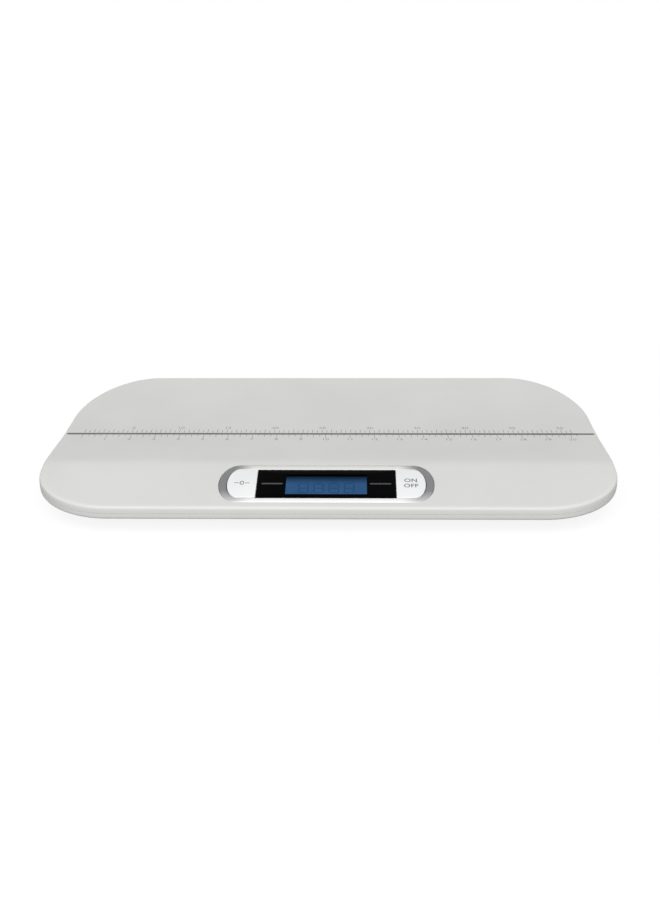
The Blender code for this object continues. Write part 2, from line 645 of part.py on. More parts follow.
def make_feet(paints):
    """At each corner a steel load cell in its holder, pressed by a foot on a rubber pad."""
    holder_top = WELL_TOP - GAP
    cell_bottom = CELL_TOP - CELL_THICKNESS
    plate, slot = load_cell_outline()
    for name, x, y in FOOT_PLACES:
        place = (x, y, 0)
        outline = box_outline(HOLDER_SIDE, HOLDER_SIDE)
        mesh = prism_mesh(f"{name}_cell_holder", outline, holder_top - HOLDER_THICKNESS, holder_top)
        holder = add_object(f"{name}_cell_holder", mesh, paints["white"], None, place)
        inside = box_outline(HOLDER_SIDE - 2 * HOLDER_RIB, HOLDER_SIDE - 2 * HOLDER_RIB)
        cut(holder, prism_mesh(f"{name}_holder_inside", inside, CELL_TOP, WELL_TOP), None, place)

        mesh = prism_mesh(f"{name}_load_cell", plate, cell_bottom, CELL_TOP)
        cell = add_object(f"{name}_load_cell", mesh, paints["steel"], None, place)
        low, high = cell_bottom - CUT_PAST, CELL_TOP + CUT_PAST
        cut(cell, prism_mesh(f"{name}_cell_slot", slot, low, high), None, place)

        seat = PAD_HEIGHT + GAP
        bottom = seat - PAD_SEAT
        recess = PAD_RADIUS + GAP
        profile = [(0, cell_bottom - GAP), (PIN_RADIUS, cell_bottom - GAP), (PIN_RADIUS, FOOT_TOP),
                   (FOOT_RADIUS, FOOT_TOP), (FOOT_RADIUS, bottom), (recess, bottom), (recess, seat),
                   (0, seat)]
        add_object(f"{name}_foot", turned_mesh(f"{name}_foot", profile), paints["white"], None, place)
        chamfer = PAD_SEAT / 2
        profile = [(0, PAD_HEIGHT), (PAD_RADIUS, PAD_HEIGHT), (PAD_RADIUS, chamfer),
                   (PAD_RADIUS - chamfer, 0), (0, 0)]
        pad = turned_mesh(f"{name}_foot_pad", profile)
        add_object(f"{name}_foot_pad", pad, paints["rubber"], None, place)


def make_battery_bay(paints):
    """Four cells side by side, the five contacts that link them and the hinged door below."""
    length, depth = bay_size()
    first = -BATTERY_PITCH * (BATTERY_COUNT - 1) / 2
    for number in range(BATTERY_COUNT):
        body_end = BATTERY_LENGTH / 2 - BATTERY_NIPPLE
        profile = [(0, BATTERY_LENGTH / 2), (BATTERY_NIPPLE_RADIUS, BATTERY_LENGTH / 2),
                   (BATTERY_NIPPLE_RADIUS, body_end), (BATTERY_RADIUS, body_end),
                   (BATTERY_RADIUS, -BATTERY_LENGTH / 2), (0, -BATTERY_LENGTH / 2)]
        name = f"battery_{number + 1}"
        cell = add_object(name, turned_mesh(name, profile, BATTERY_STEPS), paints["cell"], None,
                          (first + number * BATTERY_PITCH, BATTERY_Y, battery_z()))
        cell.rotation_euler = (math.pi / 2 if number % 2 else -math.pi / 2, 0, 0)

    links = (("front_left", -1, 0, 0), ("front_middle", -1, 1, 2), ("front_right", -1, 3, 3),
             ("rear_left", 1, 0, 1), ("rear_right", 1, 2, 3))
    tip = BATTERY_LENGTH / 2 + GAP
    back = depth / 2 - GAP
    for side, end, low_cell, high_cell in links:
        half_height = CONTACT_HEIGHT / 2
        bent = [(tip, 0), (tip + CONTACT_SHEET, 0), (back - CONTACT_SHEET, half_height - CONTACT_SHEET),
                (back - CONTACT_SHEET, -half_height), (back, -half_height), (back, half_height),
                (back - 2 * CONTACT_SHEET, half_height)]
        bm = bmesh.new()
        left = first + low_cell * BATTERY_PITCH - BATTERY_RADIUS / 2
        right = first + high_cell * BATTERY_PITCH + BATTERY_RADIUS / 2
        face = bm.faces.new([bm.verts.new((left, end * y, z)) for y, z in bent])
        made = bmesh.ops.extrude_face_region(bm, geom=[face])
        moved = [v for v in made["geom"] if isinstance(v, bmesh.types.BMVert)]
        bmesh.ops.translate(bm, verts=moved, vec=(right - left, 0, 0))
        name = f"battery_contact_{side}"
        add_object(name, mesh_from(bm, name), paints["steel"], None, (0, BATTERY_Y, battery_z()))

    hinge = (0, BATTERY_Y - depth / 2 + DOOR_LEDGE, FLOOR_Z)
    plate = box_outline(length - 2 * LOOSE, depth - DOOR_LEDGE - 2 * LOOSE, (0, (depth - DOOR_LEDGE) / 2))
    door = add_object("battery_door", prism_mesh("battery_door", plate, GAP, GAP + DOOR_THICKNESS),
                      paints["white"], None, hinge)
    tongue_low = FLOOR_WALL + GAP
    for number, sign in enumerate((-1, 1), 1):
        x = sign * length / 4
        reach = DOOR_TONGUE + DOOR_TONGUE_THICKNESS + LOOSE
        centre = (x, LOOSE + DOOR_TONGUE_THICKNESS - reach / 2)
        tongue = box_outline(DOOR_TONGUE_WIDTH, reach, centre)
        tongue_high = tongue_low + DOOR_TONGUE_THICKNESS
        join(door, prism_mesh(f"door_tongue_{number}", tongue, tongue_low, tongue_high), None, hinge)
        neck = box_outline(DOOR_TONGUE_WIDTH, DOOR_TONGUE_THICKNESS, (x, LOOSE + DOOR_TONGUE_THICKNESS / 2))
        top = tongue_low + DOOR_TONGUE_THICKNESS / 2
        join(door, prism_mesh(f"door_neck_{number}", neck, GAP + DOOR_THICKNESS / 2, top), None, hinge)
    grip = box_outline(GRIP_LENGTH, GRIP_WIDTH, (0, depth - DOOR_LEDGE - GRIP_WIDTH))
    cut(door, prism_mesh("door_grip", grip, -CUT_PAST, GAP + GRIP_DEPTH), None, hinge)


def screw_profile(head_radius, head_height, shank_radius, shank_length):
    """A pan-head screw that points up, its head's upper face at zero."""
    tip = shank_radius / 2
    crown = head_radius - head_height / 2
    return [(0, shank_length), (tip, shank_length), (shank_radius, shank_length - shank_radius),
            (shank_radius, 0), (head_radius, 0), (head_radius, -head_height / 2),
            (crown, -head_height), (0, -head_height)]


def make_screws(panel, paint):
    """Six screws that close the case and four that hold the board."""
    profile = screw_profile(HEAD_RADIUS, HEAD_HEIGHT, SHANK_RADIUS, SHANK_LENGTH)
    for number, (x, y) in enumerate(CASE_SCREWS, 1):
        name = f"case_screw_{number}"
        add_object(name, turned_mesh(name, profile, SCREW_STEPS), paint, None, (x, y, HEAD_SEAT_Z - GAP))
    profile = screw_profile(BOARD_HEAD_RADIUS, BOARD_HEAD_HEIGHT, BOARD_SHANK_RADIUS, BOARD_SHANK_LENGTH)
    for number, (x, v) in enumerate(board_screw_places(), 1):
        name = f"board_screw_{number}"
        add_object(name, turned_mesh(name, profile, SCREW_STEPS), paint, panel, (x, v, board_bottom() - GAP))


def board_pad(panel_matrix, x, v, side):
    """The last places of a lead's route, which comes in from one side and rises to the board's back."""
    top = board_bottom() - GAP
    low = top - LEAD_DROP
    places = [(side * (x + 3 * LEAD_DROP), v, low - LEAD_DROP / 2),
              (side * (x + LEAD_DROP / 4), v, low), (side * x, v, top)]
    return [tuple(panel_matrix @ Vector(place)) for place in places]


def make_leads(panel_matrix, paints):
    """Leads from the load cells and the battery bay to pads on the back of the board."""
    run = WELL_TOP + FLOOR_WALL + CELL_LEAD_RADIUS + LEAD_CLEAR
    for name, x, y in FOOT_PLACES:
        side = math.copysign(1, x)
        route = [(x, y, CELL_TOP + GAP), (x, y, WELL_TOP), (x, y, run + 0.003),
                 (x - side * 0.010, y, run + 0.007)]
        if y > 0:
            pad_x = BOARD_LENGTH / 2 - REAR_PAD_INSET
            route += [(x - side * 0.040, y - 0.020, run + 0.004), (x - side * 0.052, RULER_Y, run),
                      (side * (pad_x + 3 * LEAD_DROP), CREST_Y, run)]
            route += board_pad(panel_matrix, pad_x, BOARD_HEIGHT / 4, side)
        else:
            route += board_pad(panel_matrix, BOARD_LENGTH / 2 - FRONT_PAD_INSET, BOARD_HEIGHT / 8, side)
        lead(f"{name}_cell_lead", route, CELL_LEAD_RADIUS, paints["white"])

    level = battery_z()
    for name, side, paint in (("battery_lead_negative", -1, "black"), ("battery_lead_positive", 1, "red")):
        x, y = battery_lead_place(side)
        route = [(x, y, level), (x, y - 2 * BAY_WALL, level), (x + side * 0.006, y - 0.018, level),
                 (x + side * 0.016, CREST_Y + 0.040, BOSS_SPLIT_Z),
                 (side * (BATTERY_PAD_X + 3 * LEAD_DROP), CREST_Y, BOSS_SPLIT_Z)]
        route += board_pad(panel_matrix, BATTERY_PAD_X, BOARD_HEIGHT / 4, side)
        lead(name, route, BATTERY_LEAD_RADIUS, paints[paint])


def main():
    """Builds every piece of the scale."""
    for thing in list(bpy.data.objects):
        bpy.data.objects.remove(thing, do_unlink=True)
    paints = {
        "white": make_material("white_abs", (0.83, 0.83, 0.82), 0.45),
        "grey": make_material("grey_abs", (0.52, 0.52, 0.53), 0.40),
        "black": make_material("black_acrylic", (0.02, 0.02, 0.025), 0.15),
        "blue": make_material("lcd_glass", (0.18, 0.33, 0.50), 0.10),
        "milky": make_material("light_guide", (0.90, 0.92, 0.95), 0.30),
        "pink": make_material("connector_rubber", (0.75, 0.55, 0.58), 0.70),
        "board": make_material("circuit_board", (0.05, 0.30, 0.16), 0.50),
        "steel": make_material("zinc_steel", (0.72, 0.73, 0.74), 0.30, 1.0),
        "rubber": make_material("black_rubber", (0.07, 0.07, 0.07), 0.85),
        "cell": make_material("battery_wrap", (0.16, 0.17, 0.19), 0.30),
        "line": make_material("ruler_ink", (0.36, 0.36, 0.36), 0.55),
        "red": make_material("red_insulation", (0.70, 0.08, 0.07), 0.45),
    }
    panel = bpy.data.objects.new("display_plane", None)
    bpy.context.scene.collection.objects.link(panel)
    panel.location = (0, RING_Y, TRAY_Z + tray_rise(RING_Y))
    panel.rotation_euler = (APRON_ANGLE, 0, 0)
    panel_matrix = Matrix.Translation(panel.location) @ Matrix.Rotation(APRON_ANGLE, 4, "X")

    make_top_cover(paints["white"], panel)
    make_bottom_cover(paints["white"])
    make_ruler(paints["line"])
    make_display(panel, paints)
    make_keys(panel, paints)
    make_feet(paints)
    make_battery_bay(paints)
    make_screws(panel, paints["steel"])
    make_leads(panel_matrix, paints)


main()
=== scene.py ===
"""Looks of a low digital weighing scale for small animals: a white tray with a lit display.

Metres, +Z up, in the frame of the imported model; -Y is towards the reader of the display.
"""

import logging
import math
from contextlib import contextmanager
from dataclasses import dataclass
from enum import Enum
from typing import Callable, Iterator, Sequence

import bmesh
import bpy
from bpy.types import Node, NodeSocket, NodeTree, Object
from mathutils import Matrix, Vector


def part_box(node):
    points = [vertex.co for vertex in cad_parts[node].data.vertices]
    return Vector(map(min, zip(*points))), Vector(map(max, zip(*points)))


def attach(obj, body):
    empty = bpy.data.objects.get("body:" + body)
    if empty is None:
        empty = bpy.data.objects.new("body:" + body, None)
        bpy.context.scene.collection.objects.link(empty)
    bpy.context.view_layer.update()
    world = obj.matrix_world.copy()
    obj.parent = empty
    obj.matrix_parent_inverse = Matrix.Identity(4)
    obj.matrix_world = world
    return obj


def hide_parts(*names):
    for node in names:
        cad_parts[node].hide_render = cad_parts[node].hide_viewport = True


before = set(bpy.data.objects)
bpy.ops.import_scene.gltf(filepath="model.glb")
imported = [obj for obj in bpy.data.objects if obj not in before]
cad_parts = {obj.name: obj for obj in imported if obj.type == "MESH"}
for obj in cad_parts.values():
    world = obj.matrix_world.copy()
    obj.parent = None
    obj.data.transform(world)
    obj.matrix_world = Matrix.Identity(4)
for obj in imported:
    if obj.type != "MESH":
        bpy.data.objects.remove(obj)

LOG = logging.getLogger("weighing_scale")
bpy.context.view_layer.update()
CORNERS = ("front_left", "front_right", "rear_left", "rear_right")
SIDES = (("left", -1), ("right", 1))
CELL_COUNT = 4
CASE_SCREWS = 6
BOARD_SCREWS = 4
UP = Vector((0, 0, 1))
CLOSE = 1e-5  # places nearer to each other than this are one place
STRAIGHT = 0.99  # cosine past which a face looks, or an edge runs, along an axis
INK = 0.00004  # thickness of a print
SMOOTH_ANGLE = math.radians(32)  # faces that meet at less are shaded as one
TEXT_STEPS = 3  # points along each curve of a letter


class Part(Enum):
    """Kinds of mesh element that a selection is made of."""

    VERT = "verts"
    EDGE = "edges"
    FACE = "faces"


class Cut(Enum):
    """Ways to combine a piece with its tools."""

    TAKE_AWAY = "DIFFERENCE"
    ADD = "UNION"


def linear(hex_colour: str) -> tuple[float, float, float, float]:
    """Turns an sRGB hex colour to linear light.

    Args:
        hex_colour: six hex digits after a hash.

    Returns:
        Linear red, green, blue and a full alpha.
    """
    levels = [int(hex_colour[i:i + 2], 16) / 255 for i in (1, 3, 5)]
    return (*[c / 12.92 if c <= 0.04045 else ((c + 0.055) / 1.055) ** 2.4 for c in levels], 1.0)


def feed(tree: NodeTree, node: Node, inputs: dict) -> Node:
    """Sets or links a node's inputs.

    Args:
        tree: the node's tree.
        node: the node.
        inputs: values or sockets by input name or number.

    Returns:
        The same node.
    """
    for key, value in inputs.items():
        if isinstance(value, NodeSocket):
            tree.links.new(value, node.inputs[key])
        else:
            node.inputs[key].default_value = value
    return node


def add_node(tree: NodeTree, kind: str, inputs: dict | None = None, **settings: object) -> Node:
    """Adds a node with its settings and its inputs.

    Args:
        tree: the node tree to add to.
        kind: the node's type name.
        inputs: values or sockets by input name or number.
        settings: the node's own properties.

    Returns:
        The new node.
    """
    node = tree.nodes.new(kind)
    for name, value in settings.items():
        setattr(node, name, value)
    return feed(tree, node, inputs or {})


def maths(tree: NodeTree, operation: str, *values: float | NodeSocket) -> NodeSocket:
    """One step of arithmetic on values or sockets."""
    return add_node(tree, "ShaderNodeMath", dict(enumerate(values)), operation=operation).outputs[0]


def ramp(tree: NodeTree, value: NodeSocket, span: Sequence[float],
         to: Sequence[float] = (0.0, 1.0), smooth: bool = False) -> NodeSocket:
    """Maps a span of a value to another span, held at both ends."""
    inputs = {0: value, 1: span[0], 2: span[1], 3: to[0], 4: to[1]}
    return add_node(tree, "ShaderNodeMapRange", inputs,
                    interpolation_type="SMOOTHSTEP" if smooth else "LINEAR").outputs[0]


def blend(tree: NodeTree, share: NodeSocket, first: str | NodeSocket,
          second: str | NodeSocket) -> NodeSocket:
    """Goes from one colour to another by a share; each is a hex colour or a socket."""
    inputs = {i: linear(c) if isinstance(c, str) else c for i, c in ((6, first), (7, second))}
    return add_node(tree, "ShaderNodeMix", {0: share, **inputs}, data_type="RGBA").outputs[2]


def put(name: str, data: bpy.types.ID, place: Matrix = Matrix.Identity(4)) -> Object:
    """Adds an object to the scene.

    Args:
        name: its name.
        data: its camera, lamp, curve or mesh.
        place: where its own frame goes.

    Returns:
        The new object.
    """
    item = bpy.data.objects.new(name, data)
    bpy.context.scene.collection.objects.link(item)
    item.matrix_world = place
    return item


def only(piece: Object) -> None:
    """Selects one piece alone and makes it the active one.

    Args:
        piece: the piece.
    """
    bpy.ops.object.select_all(action="DESELECT")
    piece.select_set(True)
    bpy.context.view_layer.objects.active = piece


def settle(piece: Object, place: Matrix = Matrix.Identity(4)) -> Object:
    """Moves a piece's mesh to its place, and leaves the object at the origin.

    Args:
        piece: the piece to move.
        place: where its own frame goes.

    Returns:
        The same piece.
    """
    bpy.context.view_layer.update()
    piece.matrix_world = place @ piece.matrix_world
    only(piece)
    bpy.ops.object.transform_apply(location=True, rotation=True, scale=True)
    return piece


def start(name: str) -> Object:
    """Names the primitive that was just added and settles its place and size in its mesh.

    Args:
        name: the piece's name.

    Returns:
        The piece.
    """
    piece = bpy.context.object
    piece.name = piece.data.name = name
    return settle(piece)


def add_plate(name: str, length: float, width: float, at: Sequence[float] = (0, 0, 0)) -> Object:
    """Adds a flat rectangle that faces up.

    Args:
        name: the piece's name.
        length: its size along X.
        width: its size along Y.
        at: its middle.

    Returns:
        The new piece.
    """
    bpy.ops.mesh.primitive_plane_add(size=1, location=at)
    bpy.context.object.scale = (length, width, 1)
    return start(name)


def add_block(name: str, low: Sequence[float], high: Sequence[float]) -> Object:
    """Adds a block between two corners.

    Args:
        name: the piece's name.
        low: its corner at the low end of each axis.
        high: the corner opposite.

    Returns:
        The new piece.
    """
    middle = [(a + b) / 2 for a, b in zip(low, high)]
    bpy.ops.mesh.primitive_cube_add(size=1, location=middle)
    bpy.context.object.scale = [b - a for a, b in zip(low, high)]
    return start(name)


def add_drum(name: str, radius: float, low: float, high: float, at: Sequence[float] = (0, 0),
             steps: int = 64) -> Object:
    """Adds an upright drum.

    Args:
        name: the piece's name.
        radius: its radius.
        low: the height of its lower face.
        high: the height of its upper face.
        at: its axis, in X and Y.
        steps: its number of sides.

    Returns:
        The new piece.
    """
    bpy.ops.mesh.primitive_cylinder_add(vertices=steps, radius=radius, depth=high - low,
                                        location=(*at, (low + high) / 2))
    return start(name)


def add_pill(name: str, half_length: float, half_height: float, end: float, steps: int = 96,
             fill: str = "NGON") -> Object:
    """Adds a flat pill with half-ellipse ends, facing up.

    Args:
        name: the piece's name.
        half_length: half its size along X.
        half_height: half its size along Y.
        end: how far each rounded end reaches along X.
        steps: the number of points in its outline.
        fill: whether the outline is filled.

    Returns:
        The new piece.
    """
    bpy.ops.mesh.primitive_circle_add(vertices=steps, radius=1, fill_type=fill,
                                      rotation=(0, 0, math.pi / steps))
    piece = start(name)
    piece.scale = (end, half_height, 1)
    settle(piece)
    with editing(piece):
        for side in (-1, 1):
            pick(piece, Part.VERT, lambda v: v.co.x * side > CLOSE)
            bpy.ops.transform.translate(value=(side * (half_length - end), 0, 0))
    return piece


@contextmanager
def editing(piece: Object) -> Iterator[None]:
    """Opens a piece in edit mode for the steps of a block, and closes it again.

    Args:
        piece: the piece.

    Returns:
        The manager of the block.
    """
    only(piece)
    bpy.ops.object.mode_set(mode="EDIT")
    yield
    bpy.ops.object.mode_set(mode="OBJECT")


def pick(piece: Object, part: Part, test: Callable[[object], bool] = lambda item: True) -> None:
    """Selects the elements of a piece in edit mode that pass a test, and nothing else.

    Args:
        piece: the piece in edit mode.
        part: the kind of element.
        test: says whether an element is wanted; all are if it isn't given.
    """
    bpy.ops.mesh.select_mode(type=part.name)
    bpy.ops.mesh.select_all(action="DESELECT")
    bm = bmesh.from_edit_mesh(piece.data)
    for item in getattr(bm, part.value):
        if test(item):
            item.select_set(True)
    bm.select_flush_mode()
    bmesh.update_edit_mesh(piece.data)


def level_edge(edge: bmesh.types.BMEdge, height: float) -> bool:
    """Whether an edge lies at a height."""
    return all(abs(v.co.z - height) < CLOSE for v in edge.verts)


def runs_along(edge: bmesh.types.BMEdge, axis: int) -> bool:
    """Whether an edge runs along an axis, numbered from 0 for X."""
    line = edge.verts[1].co - edge.verts[0].co
    return abs(line[axis]) > STRAIGHT * line.length


def looks(face: bmesh.types.BMFace, way: int) -> bool:
    """Whether a face looks straight up, for a way of 1, or straight down, for -1."""
    return face.normal.z * way > STRAIGHT


def pick_all() -> None:
    """Selects all of the piece in edit mode."""
    bpy.ops.mesh.select_all(action="SELECT")


def extrude(height: float) -> None:
    """Extrudes what is selected along Z."""
    bpy.ops.mesh.extrude_region_move(TRANSFORM_OT_translate={"value": (0, 0, height)})


def inset(thickness: float, depth: float = 0.0) -> None:
    """Insets the selected faces, and moves them along their normal."""
    bpy.ops.mesh.inset(thickness=thickness, depth=depth)


def bevel(offset: float, segments: int, affect: str = "EDGES") -> None:
    """Rounds the selected edges or corners to a radius."""
    bpy.ops.mesh.bevel(offset=offset, segments=segments, profile=0.5, affect=affect,
                       clamp_overlap=False)


def slice_at(place: Sequence[float], normal: Sequence[float], clear: bool = False) -> None:
    """Cuts the whole piece in edit mode at a plane, and clears what lies behind it if asked."""
    pick_all()
    bpy.ops.mesh.bisect(plane_co=place, plane_no=normal, threshold=CLOSE, clear_inner=clear)


def face_outwards() -> None:
    """Turns every face of the piece in edit mode outwards."""
    pick_all()
    bpy.ops.mesh.normals_make_consistent(inside=False)


def thicken(piece: Object, depth: float) -> None:
    """Gives a flat piece a depth below its face, with every face turned outwards.

    Args:
        piece: the flat piece.
        depth: its depth; one below nought goes upwards.
    """
    with editing(piece):
        pick(piece, Part.FACE)
        extrude(-depth)
        face_outwards()


def round_corners(piece: Object, radius: float, segments: int) -> None:
    """Rounds the corners of a flat piece.

    Args:
        piece: the flat piece.
        radius: the size of the rounding.
        segments: its number of edges.
    """
    with editing(piece):
        pick(piece, Part.VERT)
        bevel(radius, segments, "VERTICES")


def round_rim(piece: Object, height: float, radius: float, segments: int = 3) -> None:
    """Rounds the edges of a piece that lie at a height.

    Args:
        piece: the piece.
        height: the height of the edges.
        radius: the size of the rounding.
        segments: its number of faces.
    """
    with editing(piece):
        pick(piece, Part.EDGE, lambda e: level_edge(e, height)
             and e.calc_face_angle(0) > SMOOTH_ANGLE)
        bevel(radius, segments)


def add_slab(name: str, size: Sequence[float], corner: tuple[float, int], edge: tuple[float, int],
             at: Sequence[float] = (0, 0, 0)) -> Object:
    """Adds a slab with rounded corners and a rounded rim about its first face.

    Args:
        name: the piece's name.
        size: its length, its width and its depth below the first face.
        corner: radius and number of faces of each corner.
        edge: radius and number of faces of the rim.
        at: the middle of the first face.

    Returns:
        The new piece.
    """
    piece = add_plate(name, *size[:2], at)
    round_corners(piece, *corner)
    thicken(piece, size[2])
    round_rim(piece, at[2], *edge)
    return piece


def inset_rings(piece: Object, rings: Sequence[tuple[float, float]]) -> None:
    """Builds a bowl from its outline, one ring inside the other.

    Args:
        piece: the filled outline.
        rings: inset and distance along the face's normal of each ring, from the outline.
    """
    with editing(piece):
        pick(piece, Part.FACE)
        thickness, depth = 0.0, 0.0
        for next_thickness, next_depth in rings:
            inset(next_thickness - thickness, next_depth - depth)
            thickness, depth = next_thickness, next_depth


def modify(piece: Object, kind: str, **settings: object) -> None:
    """Adds a modifier to a piece and applies it.

    Args:
        piece: the piece.
        kind: the modifier's type name.
        settings: the modifier's own properties.
    """
    only(piece)
    modifier = piece.modifiers.new(kind.title(), kind)
    for name, value in settings.items():
        setattr(modifier, name, value)
    bpy.ops.object.modifier_apply(modifier=modifier.name)


def joined(pieces: Sequence[Object], name: str = "") -> Object:
    """Joins pieces into the first of them.

    Args:
        pieces: the pieces.
        name: the whole's name, or nothing to keep the first piece's.

    Returns:
        The first piece.
    """
    whole = pieces[0]
    only(whole)
    for piece in pieces:
        piece.select_set(True)
    if len(pieces) > 1:
        bpy.ops.object.join()
    whole.name = whole.data.name = name or whole.name
    return whole


def carve(piece: Object, cut: Cut, tools: Sequence[Object]) -> None:
    """Combines a piece with tools that don't touch each other, and removes the tools.

    Args:
        piece: the piece to work on.
        cut: whether the tools are taken away or added.
        tools: the tool pieces.
    """
    tool = joined(tools)
    modify(piece, "BOOLEAN", object=tool, operation=cut.value, solver="MANIFOLD")
    bpy.data.objects.remove(tool)


def printed_text(text: str, size: float, at: Sequence[float], bold: float = 0.0) -> Object:
    """Adds short generic print as a flat mesh, centred on its place.

    Args:
        text: the digits or words.
        size: the letters' size.
        at: the print's middle.
        bold: how far the strokes are widened on each side.

    Returns:
        The print's mesh.
    """
    bpy.ops.object.text_add()
    words = bpy.context.object.data
    words.body, words.size, words.offset = text, size, bold
    words.align_x = words.align_y = "CENTER"
    words.resolution_u = TEXT_STEPS
    bpy.ops.object.convert(target="MESH")
    mesh = bpy.context.object
    with editing(mesh):
        pick_all()
        bpy.ops.mesh.remove_doubles(threshold=CLOSE / 10)
    return settle(mesh, Matrix.Translation(at))


def node_middle(node: str) -> tuple[float, float]:
    """The middle of a node's box in X and Y."""
    low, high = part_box(node)
    return (low.x + high.x) / 2, (low.y + high.y) / 2


def dress(piece: Object, body: str, finishes: Sequence["Finish"],
          nodes: Sequence[str] = ()) -> None:
    """Gives a piece its shading, materials and the body it rides, and hides the nodes it stands
    for.

    Args:
        piece: the piece.
        body: the body that it moves with.
        finishes: its finishes, in the order of its material numbers.
        nodes: the frame's nodes that it replaces.
    """
    only(piece)
    bpy.ops.object.shade_smooth_by_angle(angle=SMOOTH_ANGLE)
    piece.data.materials.clear()
    for finish in finishes:
        piece.data.materials.append(finish.material())
    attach(piece, body)
    if nodes:
        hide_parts(*nodes)
    LOG.info("%s: %d faces, rides %s", piece.name, len(piece.data.polygons), body)


@dataclass(frozen=True)
class Slope:
    """The plane of the sloped front, in which the display is laid out."""

    angle: float = math.radians(12)
    ring_thickness: float = 0.0012

    def at(self, height: float = 0.0) -> Matrix:
        """Where a frame over the plane goes: X along the front, Y up the slope and Z out of it.

        Args:
            height: the frame's height over the plane.

        Returns:
            The frame's place.
        """
        low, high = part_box("display_bezel")
        turn = Matrix.Rotation(self.angle, 4, "X")
        middle = (low + high) / 2 + turn @ UP * self.ring_thickness / 2
        return Matrix.Translation(middle) @ turn @ Matrix.Translation((0, 0, height))

    def size_of(self, node: str, thickness: float) -> tuple[float, float, float]:
        """Size of a slab that lies in the plane.

        Args:
            node: the slab's node.
            thickness: the slab's thickness.

        Returns:
            Its length, its width up the slope and its thickness.
        """
        low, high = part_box(node)
        across = high.y - low.y - thickness * math.sin(self.angle)
        return high.x - low.x, across / math.cos(self.angle), thickness


SLOPE = Slope()


@dataclass(frozen=True)
class TrayForm:
    """The tray's outline, and the line of its top along Y that every piece of the case follows.

    The trim is how far the outline lies inside the frame's, in X and Y. Each corner is a quarter
    of an oval, with its reach along X and Y.
    """

    trim: tuple[float, float] = (0.0011, 0.0024)
    front_corner: tuple[float, float] = (0.076, 0.060)
    rear_corner: tuple[float, float] = (0.079, 0.108)
    rim: float = 0.0065
    rim_power: float = 5.0
    level: float = 0.044
    rear_rise: float = 0.0113
    crest_rise: float = 0.002
    crest_y: float = -0.0746
    crest_round: float = 0.014
    corner_steps: int = 26
    stations: int = 30
    crest_stations: int = 10
    width: float = 2 * (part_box("top_cover")[1].x - trim[0])
    depth: float = 2 * (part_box("top_cover")[1].y - trim[1])

    def rise(self, y: float) -> float:
        """Height of the tray's top above its lowest line.

        Args:
            y: the place along Y.

        Returns:
            The rise in metres.
        """
        if y >= 0:
            return self.rear_rise * (2 * y / self.depth) ** 2
        if y >= self.crest_y:
            share = y / self.crest_y
            return self.crest_rise * (3 - 2 * share) * share ** 2
        ahead = self.crest_y - y
        fall = ahead - self.crest_round / 2
        if ahead < self.crest_round:
            fall = ahead ** 2 / (2 * self.crest_round)
        return self.crest_rise - math.tan(SLOPE.angle) * fall

    def rim_rings(self, turn: float, steps: int) -> list[tuple[float, float]]:
        """Points of the rim's section, a squarish oval: an upright wall with a tight edge.

        Args:
            turn: how far round the section they go, from nought at the wall.
            steps: their number.

        Returns:
            How far in from the outline and how far from the parting line each point lies.
        """
        power = 2 / self.rim_power
        turns = [turn * i / steps for i in range(1, steps + 1)]
        return [(self.rim * (1 - max(0.0, math.cos(t)) ** power),
                 self.rim * math.sin(t) ** power) for t in turns]

    def outline(self, name: str, z: float) -> Object:
        """Adds the tray's filled outline, facing up.

        Args:
            name: the piece's name.
            z: its height.

        Returns:
            The new piece.
        """
        piece = add_plate(name, self.width, self.depth, (0, 0, z))
        with editing(piece):
            for end, (along_x, along_y) in ((-1, self.front_corner), (1, self.rear_corner)):
                squash = along_y / along_x
                x, y = squash * self.width / 2, end * self.depth / 2
                pick_all()
                bpy.ops.transform.resize(value=(squash, 1, 1))
                pick(piece, Part.VERT, lambda v: abs(abs(v.co.x) - x) < CLOSE
                     and abs(v.co.y - y) < CLOSE)
                bevel(along_y, self.corner_steps, "VERTICES")
                pick_all()
                bpy.ops.transform.resize(value=(1 / squash, 1, 1))
        return piece

    def follow(self, piece: Object, share: Callable[[float], float]) -> None:
        """Cuts a piece across at close stations along Y and bends it to the tray's rise.

        Args:
            piece: the piece.
            share: how much of the rise a height takes up.
        """
        shares = [i / self.stations for i in range(1, self.stations)]
        step = self.crest_round / self.crest_stations
        stations = [self.depth / 2 * s for s in shares] + [0.0] + [self.crest_y * s for s in shares]
        stations += [self.crest_y - step * i for i in range(self.crest_stations + 1)]
        with editing(piece):
            for y in stations:
                slice_at((0, y, 0), (0, 1, 0))
        for vertex in piece.data.vertices:
            vertex.co.z += share(vertex.co.z) * self.rise(vertex.co.y)


FORM = TrayForm()


